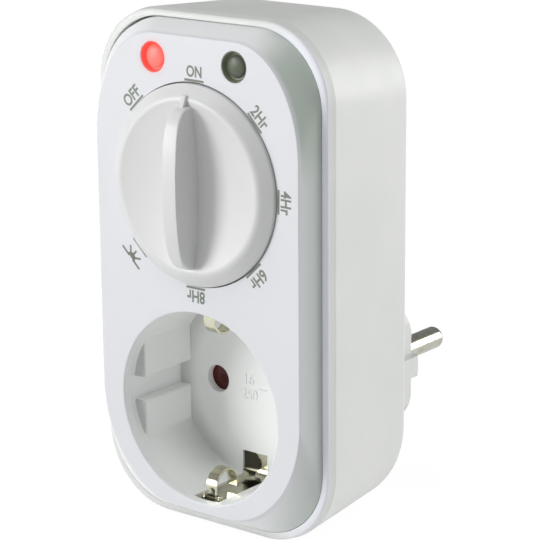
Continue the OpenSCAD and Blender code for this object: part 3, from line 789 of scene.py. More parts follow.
@dataclass(frozen=True)
class PanelPlastic(MouldedPlastic):
    """The front panel's plastic: flat, slope, skirt and mouth, with painted light and shade on
    them and a painted glow beside the lamp.
    """

    # Painted light: the slope's tone at the left, lighter than the flat where the slope turns from
    # the light
    slope: Colour = srgb(240, 241, 242)
    # Painted shade: the slope darker towards the right, away from the light
    right_slope_shade: Colour = srgb(222, 226, 225)
    # Painted shade: darker down towards the seam on the right
    seam: Colour = srgb(206, 213, 208)
    # Painted shade for the slope's upper right corner
    shade: Colour = srgb(194, 204, 196)
    # Painted shade: the skirt dark, where it shows only in the shade of the seam's gap
    skirt: Colour = srgb(110, 112, 110)
    # Painted light: the mouth's wall in the cup's lighter tone, with a painted glow
    mouth: Colour = srgb(239, 241, 240)
    # Painted light: a pink pool of the lamp's light on the panel round its window
    glow: Colour = srgb(255, 168, 176)
    glow_share: float = 0.22
    mouth_painted_glow: float = 0.036
    # Middle of the painted shade at the upper right corner
    shaded: Place = (25.0, 0.0, 63.0)
    # Levels along Y between which each tone comes in
    slope_levels: Span = (FRONT_Y + 0.15, FRONT_Y + 0.9)
    seam_levels: Span = (FRONT_Y + 0.9, RIM_Y - 0.1)
    skirt_levels: Span = (RIM_Y + 0.4, RIM_Y + 1.4)
    mouth_levels: Span = (FRONT_Y + 0.05, FRONT_Y + 0.3)
    # Distances between which each tone comes in or ends
    round_reach: Span = (20.6, 21.0)
    shade_reach: Span = (6.0, 16.5)
    glow_reach: Span = (2.7, 4.6)
    mouth_reach: Span = (19.75, 20.0)

    def lay(self, sheet: NodeSheet) -> None:
        """Lays the plastic, then the panel's painted light and shade.

        Args:
            sheet: the material's sheet.
        """
        super().lay(sheet)
        depth = sheet.axis("Y")
        slope = sheet.over(depth, self.slope_levels, smooth=True)
        for up in (0.0, KNOB_UP):
            away = sheet.distance((0, 0, up), flat=True)
            slope = sheet.times(slope, sheet.over(away, self.round_reach))
        # Painted shade: the slope darker to the right, darker still down to the seam there, and at
        # the upper right corner
        right = sheet.to_right()
        sloped = sheet.blend(right, self.slope, self.right_slope_shade)
        down = sheet.over(depth, self.seam_levels)
        sloped = sheet.blend(sheet.times(down, right), sloped, self.seam)
        # Painted shade at the upper right corner of the slope
        corner = sheet.over(sheet.distance(self.shaded, flat=True), self.shade_reach, 1.0, 0.0,
                            smooth=True)
        sloped = sheet.blend(corner, sloped, self.shade)
        toned = sheet.blend(slope, sheet.colour, sloped)
        # Painted shade: the skirt dark behind the rim
        toned = sheet.blend(sheet.over(depth, self.skirt_levels), toned, self.skirt)
        # Painted light: the lamp's pink glow on the panel round its window
        lamp = sheet.distance((-WINDOW_X, FRONT_Y, WINDOW_UP))
        near = sheet.over(lamp, self.glow_reach, self.glow_share, 0.0, smooth=True)
        toned = sheet.blend(near, toned, self.glow)
        # Painted light: the mouth's wall lighter, with a painted glow
        inside = sheet.over(sheet.distance((0, 0, 0), flat=True), self.mouth_reach, 1.0, 0.0)
        inside = sheet.times(inside, sheet.over(depth, self.mouth_levels))
        sheet.paint(sheet.blend(inside, toned, self.mouth))
        sheet.feed("Emission Color", self.mouth)
        sheet.feed("Emission Strength", sheet.times(inside, self.mouth_painted_glow))


@dataclass(frozen=True)
class HousingPlastic(MouldedPlastic):
    """The housing's plastic, with painted light on the narrow rim that faces the front at the
    right.
    """

    # Painted light: the rim lighter and bluer at the right, where the raised panel shades it
    rim: Colour = srgb(240, 241, 248)
    rim_levels: Span = (RIM_Y + 0.3, RIM_Y + 0.8)

    def lay(self, sheet: NodeSheet) -> None:
        """Lays the plastic, then the painted light on the rim.

        Args:
            sheet: the material's sheet.
        """
        super().lay(sheet)
        # Painted light on the rim at the right
        front = sheet.over(sheet.axis("Y"), self.rim_levels, 1.0, 0.0)
        sheet.paint(sheet.blend(sheet.times(front, sheet.to_right()), sheet.colour, self.rim))


@dataclass(frozen=True)
class CupPlastic(MouldedPlastic):
    """The cup's plastic, with painted shade on its left: at the floor's edge, low on the wall and
    on the guide blocks' front faces.
    """

    # Painted shade: the share of the tone that the shaded places keep
    shade_share: float = 0.6
    left: Span = (-11.0, -3.0)
    low: Span = (-14.0, -6.0)
    floor_levels: Span = (CUP_FLOOR_Y - 0.12, CUP_FLOOR_Y - 0.02)
    floor_reach: Span = (14.2, 19.3)
    floor_share: float = 0.75
    wall_levels: Span = (FRONT_Y + 5.5, CUP_FLOOR_Y)
    wall_reach: Span = (19.0, 19.4)
    wall_share: float = 0.7
    block_levels: Span = (FRONT_Y + 3.2, FRONT_Y + 3.6)
    block_reach: Span = (19.25, 19.4)

    def lay(self, sheet: NodeSheet) -> None:
        """Lays the plastic, then painted shade on the floor, the wall and the blocks.

        Args:
            sheet: the material's sheet.
        """
        super().lay(sheet)
        depth, out = sheet.axis("Y"), sheet.distance((0, 0, 0), flat=True)
        # Painted shade on the left: at the floor's edge, low on the wall and on the blocks' front
        # faces
        left = sheet.over(sheet.axis("X"), self.left, 1.0, 0.0, smooth=True)
        low = sheet.over(sheet.axis("Z"), self.low, 1.0, 0.0, smooth=True)
        floor = sheet.times(sheet.over(depth, self.floor_levels),
                            sheet.over(out, self.floor_reach, 0.0, self.floor_share, smooth=True))
        wall = sheet.times(sheet.over(depth, self.wall_levels, 0.0, self.wall_share, smooth=True),
                           sheet.over(out, self.wall_reach))
        blocks = sheet.times(sheet.over(out, self.block_reach, 1.0, 0.0),
                             sheet.over(depth, self.block_levels, 1.0, 0.0))
        share = sheet.larger(sheet.larger(floor, sheet.times(wall, low)), blocks)
        sheet.paint(sheet.blend(sheet.times(left, share), sheet.colour,
                                darker(self.tone, self.shade_share)))


@dataclass(frozen=True)
class Spot:
    """A painted dark reflection on a metal part, where it would mirror dark surroundings."""

    centre: Place
    reach: float
    fade: float = 0.25
    share: float = 0.94


@dataclass(frozen=True)
class Metal(Finish):
    """Rolled, plated or turned metal, with fine marks along one direction."""

    tone: Colour
    stain: Colour
    roughness: float
    spots: tuple[Spot, ...] = ()
    spot_dark: float = 0.08
    spot_uneven: float = 0.9
    stain_span: Span = (0.42, 0.75)
    stain_scale: float = 320.0
    spot_scale: float = 420.0
    mark_scale: float = 9000.0
    stretch: tuple[float, float, float] = (1.0, 0.06, 1.0)
    marks: float = 0.004

    def lay(self, sheet: NodeSheet) -> None:
        """Lays the stained colour, the painted dark reflections and the marks.

        Args:
            sheet: the material's sheet.
        """
        sheet.feed("Metallic", 1.0)
        stains = sheet.ramp(sheet.noise(self.stain_scale, 4.0), self.stain_span)
        toned = sheet.blend(stains, self.tone, self.stain)
        uneven = sheet.mottle(self.spot_scale, 2.0, -self.spot_uneven * MM, self.spot_uneven * MM)
        # Painted dark reflections: each darkens its place towards a dark stain tone
        for spot in self.spots:
            away = sheet.maths("ADD", sheet.distance(spot.centre), uneven)
            edge = (spot.reach - spot.fade, spot.reach + spot.fade)
            dull = sheet.over(away, edge, spot.share, 0.0, smooth=True)
            toned = sheet.blend(dull, toned, darker(self.stain, self.spot_dark))
        sheet.paint(toned)
        rolled = sheet.noise(self.mark_scale, 2.0, sheet.stretched(self.stretch))
        sheet.feed("Roughness", sheet.ramp(rolled, NOISE_SPAN, self.roughness - 0.06,
                                           self.roughness + 0.08))
        sheet.bump(rolled, 0.4, self.marks)


@dataclass(frozen=True)
class LampLens(Finish):
    """Tinted window lens, lit from behind where it has a glow."""

    tone: Colour
    rim: Colour
    centre: Place
    glow: float = 0.0
    roughness: float = 0.36
    specular: float = 0.36
    rim_reach: Span = (2.05, 2.3)
    cloudy: float = 0.08

    def lay(self, sheet: NodeSheet) -> None:
        """Lays the lens with a tone of its own at the rim, and its glow.

        Args:
            sheet: the material's sheet.
        """
        sheet.feed("Specular IOR Level", self.specular)
        spread = sheet.over(sheet.distance(self.centre, flat=True), self.rim_reach)
        cloudy = sheet.mottle(900.0, 2.0, -self.cloudy, self.cloudy)
        colour = sheet.blend(sheet.maths("ADD", spread, cloudy), self.tone, self.rim)
        sheet.paint(colour)
        sheet.feed("Roughness", sheet.mottle(1500.0, 3.0, self.roughness, self.roughness + 0.1))
        sheet.bump(sheet.noise(2500.0, 1.0), 0.3, 0.01)
        if self.glow:
            sheet.feed("Emission Color", colour)
            sheet.feed("Emission Strength", self.glow)


@dataclass(frozen=True)
class ClearResin(Finish):
    """Clear cast resin of a lamp or sensor."""

    tone: Colour
    transmission: float = 0.85

    def lay(self, sheet: NodeSheet) -> None:
        """Lays the resin.

        Args:
            sheet: the material's sheet.
        """
        sheet.feed("Transmission Weight", self.transmission)
        sheet.feed("IOR", 1.5)
        sheet.paint(sheet.blend(sheet.mottle(700.0, 3.0), self.tone, darker(self.tone, 0.93)))
        sheet.feed("Roughness", sheet.mottle(1600.0, 3.0, 0.04, 0.12))


@dataclass(frozen=True)
class CircuitBoardFinish(Finish):
    """Board with its green resist, pale weave and copper tracks under the resist."""

    resist: tuple[Colour, Colour] = (srgb(34, 98, 58), srgb(40, 108, 64))
    weave: Colour = srgb(58, 132, 78)
    tracks: Colour = srgb(62, 140, 74)

    def lay(self, sheet: NodeSheet) -> None:
        """Lays the weave, then the tracks.

        Args:
            sheet: the material's sheet.
        """
        flat = sheet.add("ShaderNodeCombineXYZ")
        sheet.put(flat.inputs[0], sheet.axis("X"))
        sheet.put(flat.inputs[1], sheet.axis("Z"))
        weave = sheet.add("ShaderNodeTexBrick")
        tracks = sheet.add("ShaderNodeTexVoronoi", feature="DISTANCE_TO_EDGE")
        for node, name, value in (
                (weave, "Vector", flat.outputs[0]), (weave, "Scale", 900.0),
                (weave, "Color1", self.resist[0]), (weave, "Color2", self.resist[1]),
                (weave, "Mortar", self.weave), (weave, "Mortar Size", 0.04),
                (tracks, "Vector", flat.outputs[0]), (tracks, "Scale", 170.0)):
            sheet.put(node.inputs[name], value)
        copper = sheet.ramp(tracks.outputs["Distance"], (0.10, 0.14), 1.0, 0.0)
        sheet.paint(sheet.blend(copper, weave.outputs["Color"], self.tracks))
        sheet.bump(copper, 0.4, 0.03)
        sheet.feed("Roughness", 0.35)


FINISHES: dict[str, Finish] = {
    "housing_white": HousingPlastic(srgb(226, 227, 225), srgb(221, 223, 220), 0.40, 0.02),
    "panel_white": PanelPlastic(srgb(226, 227, 231), darker(srgb(226, 227, 231), 0.985), 0.36,
                                0.012),
    # The cup's plastic: 0.036 is its painted glow, and its class adds painted shade
    "socket_white": CupPlastic(srgb(241, 242, 241), srgb(238, 240, 239), 0.36, 0.012, 0.036),
    "knob_white": MouldedPlastic(srgb(221, 222, 221), srgb(218, 218, 218), 0.38, 0.015),
    "carrier_grey": MouldedPlastic(srgb(92, 94, 96), srgb(82, 84, 86), 0.50, 0.03),
    "shutter_red": MouldedPlastic(srgb(96, 20, 16), srgb(52, 12, 10), 0.35, 0.02),
    "switch_black": MouldedPlastic(srgb(42, 42, 44), srgb(34, 34, 36), 0.45, 0.03),
    "spindle_ivory": MouldedPlastic(srgb(222, 212, 186), srgb(214, 203, 176), 0.42, 0.02),
    "relay_case": MouldedPlastic(srgb(38, 74, 132), srgb(34, 66, 120), 0.35, 0.02),
    "film_yellow": MouldedPlastic(srgb(214, 168, 48), srgb(206, 158, 40), 0.38, 0.02),
    "can_sleeve": MouldedPlastic(srgb(36, 38, 52), srgb(30, 32, 46), 0.30, 0.01),
    "disc_blue": MouldedPlastic(srgb(52, 96, 150), srgb(46, 88, 140), 0.42, 0.04),
    "chip_black": MouldedPlastic(srgb(30, 31, 33), srgb(25, 26, 28), 0.55, 0.03),
    "diode_black": MouldedPlastic(srgb(34, 34, 36), srgb(28, 28, 30), 0.45, 0.02),
    "resistor_tan": MouldedPlastic(srgb(196, 164, 120), srgb(188, 154, 110), 0.42, 0.03),
    "legend_grey": MouldedPlastic(srgb(128, 136, 124), srgb(120, 128, 116), 0.5, 0.004),
    "spring_steel": Metal(srgb(196, 198, 200), srgb(168, 170, 172), 0.25),
    # The sprung earth contact carries painted dark reflections
    "earth_nickel": Metal(srgb(216, 214, 192), srgb(180, 175, 146), 0.14, (
        Spot((-1.8, -32.5, -16.0), 3.0), Spot((0.0, -47.0, -19.8), 2.2),
        Spot((1.6, -35.0, -19.6), 2.1))),
    "pin_nickel": Metal(srgb(190, 189, 177), srgb(164, 162, 148), 0.20),
    "contact_brass": Metal(srgb(216, 186, 112), srgb(192, 158, 84), 0.28),
    "screw_steel": Metal(srgb(188, 190, 192), srgb(160, 162, 166), 0.32),
    "board_green": CircuitBoardFinish(),
    "led_red": ClearResin(srgb(214, 60, 50), 0.5),
    "sensor_clear": ClearResin(srgb(228, 232, 228)),
    "lens_red": LampLens(srgb(242, 114, 104), srgb(236, 84, 74), (-WINDOW_X, 0, WINDOW_UP), 0.47),
    # The sensor lens: its rim painted lighter than its middle, as painted light against the shade
    # of its hole
    "lens_smoke": LampLens(srgb(90, 97, 82), srgb(114, 120, 100), (WINDOW_X, 0, WINDOW_UP)),
}

NODE_SLOTS: dict[str, str] = {
    "housing": "housing_white", "rear_cover": "housing_white", "front_panel": "panel_white",
    "socket_cup": "socket_white", "contact_carrier": "carrier_grey", "shutter": "shutter_red",
    "shutter_spring": "spring_steel", "earth_bracket": "earth_nickel",
    "live_contact": "contact_brass", "neutral_contact": "contact_brass",
    "live_pin": "pin_nickel", "neutral_pin": "pin_nickel", "live_bar": "contact_brass",
    "plug_earth_contacts": "earth_nickel", "knob": "knob_white",
    "switch_spindle": "spindle_ivory", "switch_wiper": "contact_brass",
    "switch_body": "switch_black", "detent_spring": "spring_steel",
    "circuit_board": "board_green", "relay": "relay_case", "dropper_capacitor": "film_yellow",
    "smoothing_capacitor": "can_sleeve", "varistor": "disc_blue", "control_chip": "chip_black",
    "diodes": "diode_black", "resistors": "resistor_tan", "indicator_led": "led_red",
    "light_sensor": "sensor_clear", "indicator_lens": "lens_red", "sensor_lens": "lens_smoke",
    "cover_screws": "screw_steel", "board_screws": "screw_steel",
    "carrier_screws": "screw_steel",
}


@dataclass
class Finishes:
    """The built finishes by the record's slot, and what dresses nodes and pieces in them."""

    by_slot: dict[str, bpy.types.Material] = field(default_factory=dict)

    def prepare(self) -> None:
        """Builds every finish once."""
        self.by_slot = {slot: finish.build(slot) for slot, finish in FINISHES.items()}

    def dress_nodes(self) -> None:
        """Gives every node of the frame the finish of its slot."""
        for name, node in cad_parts.items():
            finish = self.by_slot[NODE_SLOTS[name]]
            if not node.material_slots:
                node.data.materials.append(finish)
            for place in node.material_slots:
                place.material = finish

    def dress(self, piece: Piece, name: str, body: Body, slot: str, nodes: Sequence[str] = (),
              angle: float = 35.0, finish: str = "") -> None:
        """Smooths a piece, dresses it and ties it to the frame.

        Args:
            piece: the object.
            name: its name.
            body: the body that it rides on.
            slot: the record's slot that its finish belongs to.
            nodes: the nodes that it stands for.
            angle: edges sharper than this stay sharp, in degrees.
            finish: its finish, where this isn't the slot's own.
        """
        piece.name = name
        Bench.smooth(piece, angle)
        piece.data.materials.clear()
        piece.data.materials.append(self.by_slot[finish or slot])
        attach(piece, body.value)
        if nodes:
            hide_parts(*nodes)
        LOG.info("%s: %d faces on %s", piece.name, len(piece.data.polygons), body.value)


# ---------------------------------------------------------------------------- sub-assemblies


@dataclass
class HousingShell:
    """The housing, open at its front and its rear, with the cover that closes the rear."""

    finishes: Finishes
    rim: Outline = Outline(28.4, 77.4, -25.8, 15.2, 15.7)
    rear: Outline = Outline(27.3, 76.0, -25.55, 16.4, 19.4)
    room: Outline = Outline(25.65, 74.65, -23.05, 12.45, 13.95)
    mouth: Outline = Outline(26.72, 75.74, -24.04, 14.85, 14.7)
    lip_inset: float = 1.3
    lip: float = 2.0
    rear_round: float = 1.5
    middle_y: float = -31.0
    line_y: float = -42.7
    line: float = 0.09
    # Edge of the mouth: inset from its outline, and depth behind the rim
    mouth_edge: tuple[Point, ...] = ((0.0, 0.16), (-0.05, 0.04), (-0.16, 0.0))
    # Rim from its crisp corner down to the fine line: inset from the outline, and Y level
    strip: tuple[Point, ...] = ((1.2, -44.87), (0.8, -44.77), (0.56, -44.66), (0.45, -44.56),
                                (0.38, -44.42), (0.31, -44.1), (0.1, -43.2))
    # The fine line: level from its middle, and share of its depth
    line_shape: tuple[Point, ...] = ((-0.16, 0.0), (-0.06, 0.8), (0.0, 1.0), (0.06, 0.8),
                                     (0.16, 0.0))

    def at(self, y: float, inset: float = 0.0) -> tuple[Outline, float]:
        """The outer outline at a level, with its draft, and the level."""
        return self.rim.blend(self.rear, (y - RIM_Y) / (REAR_Y - RIM_Y)).inset(inset), y

    def build(self) -> None:
        """Builds the shell and the cover."""
        rings = [(self.mouth.inset(inset), RIM_Y + deep) for inset, deep in self.mouth_edge]
        rings += [self.at(y, inset) for inset, y in self.strip]
        rings += [self.at(self.line_y + step, deep * self.line) for step, deep in self.line_shape]
        rings.append(self.at(self.middle_y))
        for turn in map(math.radians, range(0, 91, 15)):
            rings.append(self.at(REAR_Y - self.rear_round * (1 - math.sin(turn)),
                                 self.rear_round * (1 - math.cos(turn))))
        seat = self.room.inset(self.lip_inset)
        rings += [(seat, REAR_Y), (seat, REAR_Y - self.lip), (self.room, REAR_Y - self.lip),
                  (self.room, LEDGE_Y), (self.mouth, LEDGE_Y)]
        shell = Bench.loft(rings, 16, closed=True)
        self.finishes.dress(shell, "housing_shell", Body.CASE, "housing_white", ["housing"], 40)
        cover = Bench.copied("rear_cover")
        Bench.soften(cover, 0.22, 50)
        self.finishes.dress(cover, "rear_cover_and_boss", Body.CASE, "housing_white",
                            ["rear_cover"], 40)


@dataclass
class FrontPanel:
    """The raised panel with its slope, the knob's well, the mouth and the two windows."""

    finishes: Finishes
    flat: Outline = Outline(24.85, 73.3, -21.45, 14.85, 19.0, 1.45, 1.22)
    seam: Outline = Outline(26.64, 75.67, -23.97, 14.8, 14.65)
    shell: float = 1.6
    skirt: float = 1.7
    crease: float = 0.14
    well_r: float = 19.97
    well_round: float = 0.03
    well_deep: float = 2.4
    well_wall_r: float = 21.4
    well_wall: Span = (0.6, 4.2)
    mouth_round: float = 0.35
    flange_r: float = 22.3
    flange_deep: float = 1.7
    hub_r: float = 5.5
    through: float = 6.0
    window_r: float = 3.0
    window_round: float = 0.06
    window_deep: float = 3.0
    # How far the panel stands clear of what lies behind it
    gap: float = 0.05
    # X and Z of the posts at the right, and the sizes of all four
    posts: tuple[Point, ...] = ((18.8, 67.8), (18.3, -15.7))
    post_r: float = 2.9
    post_in: float = 0.9
    bore_r: float = 1.2
    bore_y: float = -33.1
    # The upper left corner, where the skirt is drawn in: the middle of what is drawn and its
    # radius, how far it is drawn, how wide the rest follows, and what it leaves alone
    corner: Point = (-22.4, 71.4)
    corner_r: float = 1.6
    drawn: Point = (0.50, -0.42)
    drawn_wide: float = 13.5
    left_alone: Point = (-9.0, 57.0)

    def slope(self, share: float) -> Outline:
        """The panel's outline part of the way down its slope."""
        return self.flat.blend(self.seam, 0.8 * share + 0.2 * math.sin(math.radians(90 * share)))

    def ease_corner(self, panel: Piece) -> None:
        """Draws the skirt in at the upper left corner, where the seam stands open.

        Args:
            panel: the panel's skin, before it is cut.
        """
        (x, z), (right, low) = self.corner, self.left_alone
        with Bench.editing(panel):
            Bench.pick(Kind.POINTS, lambda p: p.y > RIM_Y - NEAR and p.x < right and p.z > low)
            bpy.ops.mesh.hide(unselected=True)
            Bench.pick(Kind.POINTS, lambda p: math.hypot(p.x - x, p.z - z) < self.corner_r)
            bpy.ops.transform.translate(value=(self.drawn[0] * MM, 0, self.drawn[1] * MM),
                                        use_proportional_edit=True,
                                        proportional_edit_falloff="SMOOTH",
                                        proportional_size=self.drawn_wide * MM)
            bpy.ops.mesh.reveal(select=False)

    def skin(self) -> Piece:
        """The panel's flat, slope and skirt, and their hollow rear.

        Returns:
            The skin, before it is cut.
        """
        rings = []
        for turn in map(math.radians, (90, 60, 30, 0)):
            deep = self.crease * (1 - math.sin(turn))
            round_off = self.crease * (1 - math.cos(turn)) * 0.9
            rings.append((self.slope(deep / (RIM_Y - FRONT_Y)).inset(round_off), FRONT_Y + deep))
        rings += [(self.slope(t), FRONT_Y + t * (RIM_Y - FRONT_Y)) for t in (0.25, 0.5, 0.75, 1)]
        foot, wall = LEDGE_Y - self.gap, self.flat.inset(self.shell)
        inner = self.seam.inset(self.skirt)
        rings += [(self.seam, foot), (inner, foot), (inner, RIM_Y), (wall, RIM_Y),
                  (wall, PANEL_BACK_Y)]
        return Bench.loft(rings, 24)

    def build(self) -> None:
        """Builds the panel."""
        panel = self.skin()
        self.ease_corner(panel)
        y0, back = FRONT_Y, FRONT_Y + self.through
        well_wall = (y0 + self.well_wall[0], y0 + self.well_wall[1])
        Bench.fuse(panel, Bench.drum(self.well_wall_r, well_wall, 0, KNOB_UP, 128))
        mouth = eased_hole(CUP_R, self.mouth_round, y0, back, 5)
        well = eased_hole(self.well_r, self.well_round, y0, y0 + self.well_deep, 1)
        flange = Bench.drum(self.flange_r, (PANEL_BACK_Y, PANEL_BACK_Y + self.flange_deep))
        Bench.cut(panel, Bench.turned(mouth, 0, 0, 128), Bench.turned(well, 0, KNOB_UP, 128),
                  Bench.drum(self.hub_r, (y0, back), 0, KNOB_UP, 48), flange)
        window = eased_hole(self.window_r, self.window_round, y0, y0 + self.window_deep, 1)
        for side in (-1, 1):
            Bench.cut(panel, Bench.turned(window, side * WINDOW_X, WINDOW_UP, 64))
        for x, z in ((side * x, z) for x, z in self.posts for side in (-1, 1)):
            ends = (PANEL_BACK_Y + self.post_in, COVER_IN_Y - self.gap)
            post = Bench.drum(self.post_r, ends, x, z, 32)
            Bench.cut(post, Bench.drum(self.bore_r, (self.bore_y, COVER_IN_Y + CLEAR), x, z, 24))
            Bench.join(panel, post)
        self.finishes.dress(panel, "front_panel_moulding", Body.CASE, "panel_white",
                            ["front_panel"], 32)


@dataclass(frozen=True)
class Lettering:
    """A short string made into a thin raised mesh."""

    text: str
    height: float
    squeeze: float
    heavy: float = 0.0
    # Height of a capital, as a share of the size of its letters
    capital: float = 0.72

    def build(self, place: Sequence[float], turn: float, proud: float) -> Piece:
        """Makes the string.

        Args:
            place: where its middle is, in millimetres.
            turn: clockwise turn seen from the front, in degrees.
            proud: how far it stands proud of its ground.

        Returns:
            The mesh.
        """
        Bench.take()
        bpy.ops.object.text_add(location=(0, 0, 0))
        words = bpy.context.object
        words.data.body = self.text
        words.data.align_x = "CENTER"
        words.data.align_y = "CENTER"
        words.data.size = self.height / self.capital * MM
        words.data.extrude = proud * MM
        words.data.offset = self.heavy * MM
        words.data.resolution_u = 5
        bpy.ops.object.convert(target="MESH")
        piece = bpy.context.object
        middle = sum((Vector(c) for c in piece.bound_box), Vector()) / 8
        stand = Matrix.Rotation(math.pi / 2, 4, "X")
        spin = Matrix.Rotation(math.radians(turn), 4, "Y")
        squeeze = Matrix.Diagonal((self.squeeze, 1, 1, 1))
        move = Matrix.Translation(Vector(place) * MM)
        piece.data.transform(move @ spin @ stand @ squeeze @ Matrix.Translation(-middle))
        piece.matrix_world = Matrix()
        with Bench.editing(piece):
            bpy.ops.mesh.select_all(action="SELECT")
            bpy.ops.mesh.remove_doubles(threshold=1e-7)
        return piece


@dataclass
class SocketCup:
    """The socket's cup with its guide blocks, contact holes, earth slots and numbers."""

    finishes: Finishes
    wall: float = 1.3
    flange_r: float = 22.2
    flange: float = 1.55
    flange_round: float = 0.2
    mouth_gap: float = 0.1
    panel_gap: float = 0.05
    block_flat: float = 16.6
    block_slot: float = 5.1
    block_front: float = 2.8
    block_slant: float = 0.35
    block_round: float = 0.7
    # How far a block runs on beside its flat, and how far it is sunk into the wall and the floor
    block_run: float = 1.6
    block_sunk: float = 0.3
    # The rounded start of a block's edge along the slot: its length and width
    lead: float = 1.9
    lead_round: float = 0.25
    edge_round: float = 0.15
    hole_r: float = 2.8
    hole_x: float = 9.5
    hole_round: float = 0.25
    slot_half: float = 3.2
    slot_in: float = 14.0
    slot_out: float = 20.35
    slot_edge_out: float = 18.9
    channel_half: float = 4.4
    channel: Span = (19.9, 21.55)

    def guide(self, side: int, half: int) -> Piece:
        """One guide block: the cup's wall thickened up to a flat.

        Args:
            side: 1 for the right side and -1 for the left one.
            half: 1 for the block above the slot and -1 for the one below it.

        Returns:
            The block.
        """
        flat, near, sunk = self.block_flat, self.block_slot / 2, self.block_sunk
        y0, y1 = FRONT_Y + self.block_front, CUP_FLOOR_Y + sunk
        far = math.sqrt(CUP_R ** 2 - flat ** 2) + self.block_run
        block = Bench.block((flat, y0, near), (CUP_R + 2 * sunk, y1, far))
        with Bench.editing(block):
            Bench.pick(Kind.POINTS, lambda p: p.y < y0 + NEAR and p.x < flat + NEAR)
            bpy.ops.transform.translate(value=(0, self.block_slant * MM, 0))
        around = Bench.drum(1.5 * CUP_R, (FRONT_Y, y1 + CLEAR))
        Bench.cut(around, Bench.drum(CUP_R + sunk, (FRONT_Y - CLEAR, y1 + 2 * CLEAR)))
        Bench.cut(block, around)
        Bench.round_edges(block, lambda p: p.x < flat + NEAR, self.block_round, 4)
        Bench.round_edges(block, lambda p: abs(p.z - near) < NEAR and p.y < y0 + self.lead,
                          self.lead_round, 3)
        if side < 0 or half < 0:
            Bench.take(block)
            bpy.ops.transform.mirror(orient_type="GLOBAL", center_override=(0, 0, 0),
                                     constraint_axis=(side < 0, False, half < 0))
            block.location = (0, 0, 0)
            bpy.ops.object.transform_apply()
            with Bench.editing(block):
                Bench.face_outwards()
        return block

    def numbers(self) -> Piece:
        """Small plain figures that stand a little proud of the floor.

        Returns:
            The figures as one mesh.
        """
        upper = Lettering("16", 2.3, 0.86).build((-1.2, CUP_FLOOR_Y, 1.4), 0, 0.16)
        lower = Lettering("250", 2.3, 0.86).build((-1.2, CUP_FLOOR_Y, -1.8), 0, 0.16)
        waves = Lettering("~~", 1.7, 0.8).build((2.2, CUP_FLOOR_Y, -0.2), 0, 0.12)
        Bench.join(upper, lower, waves)
        return upper

    def build(self) -> None:
        """Builds the cup."""
        outer = CUP_R + self.wall
        y0 = PANEL_BACK_Y + self.panel_gap
        rounded = self.edge_round
        cup = Bench.turned([(CUP_R + self.mouth_gap, y0), (self.flange_r - self.flange_round, y0),
                            (self.flange_r, y0 + self.flange_round),
                            (self.flange_r, y0 + self.flange), (outer, y0 + self.flange),
                            (outer, CUP_BACK_Y)], steps=128)
        floor_round = arc((CUP_R - rounded, CUP_FLOOR_Y - rounded), rounded, 0, 90, 3)
        Bench.cut(cup, Bench.turned([(CUP_R, y0 - CLEAR), *floor_round], steps=128))
        for side in (-1, 1):
            low, high = sorted(side * z for z in self.channel)
            Bench.fuse(cup, Bench.block((-self.channel_half, y0, low),
                                        (self.channel_half, CUP_BACK_Y, high)),
                       self.guide(side, -1), self.guide(side, 1))
        back = CUP_BACK_Y + CLEAR
        hole = eased_hole(self.hole_r, self.hole_round, CUP_FLOOR_Y, back, 4)
        for side in (-1, 1):
            low, high = sorted((side * self.slot_in, side * self.slot_out))
            Bench.cut(cup, Bench.turned(hole, side * self.hole_x, 0, 64),
                      Bench.block((-self.slot_half, y0, low), (self.slot_half, back, high)))
        Bench.round_edges(cup, lambda p: abs(p.y - CUP_FLOOR_Y) < NEAR
                          and abs(p.x) < self.slot_half + NEAR
                          and self.slot_in - NEAR < abs(p.z) < self.slot_edge_out, rounded, 2)
        Bench.join(cup, self.numbers())
        self.finishes.dress(cup, "socket_cup_moulding", Body.CASE, "socket_white",
                            ["socket_cup"], 38)


@dataclass
class Contacts:
    """The sprung earth contact, the plug's earth strips and the shutter."""

    finishes: Finishes

    def build(self) -> None:
        """Builds each of them from a merged copy with its edges broken."""
        jobs = (("earth_spring_contact", "earth_bracket", 0.09, Body.CASE),
                ("plug_earth_strips", "plug_earth_contacts", 0.08, Body.CASE),
                ("shutter_plate", "shutter", 0.15, Body.SHUTTER))
        for name, node, width, body in jobs:
            piece = Bench.copied(node)
            Bench.soften(piece, width, 45)
            self.finishes.dress(piece, name, body, NODE_SLOTS[node], [node], 40)


@dataclass(frozen=True)
class GripSection:
    """A section of the grip: its place, half widths, and heights above the panel's flat."""

    z: float
    foot: float
    crease: float
    crease_up: float
    shoulder: float
    crest_up: float


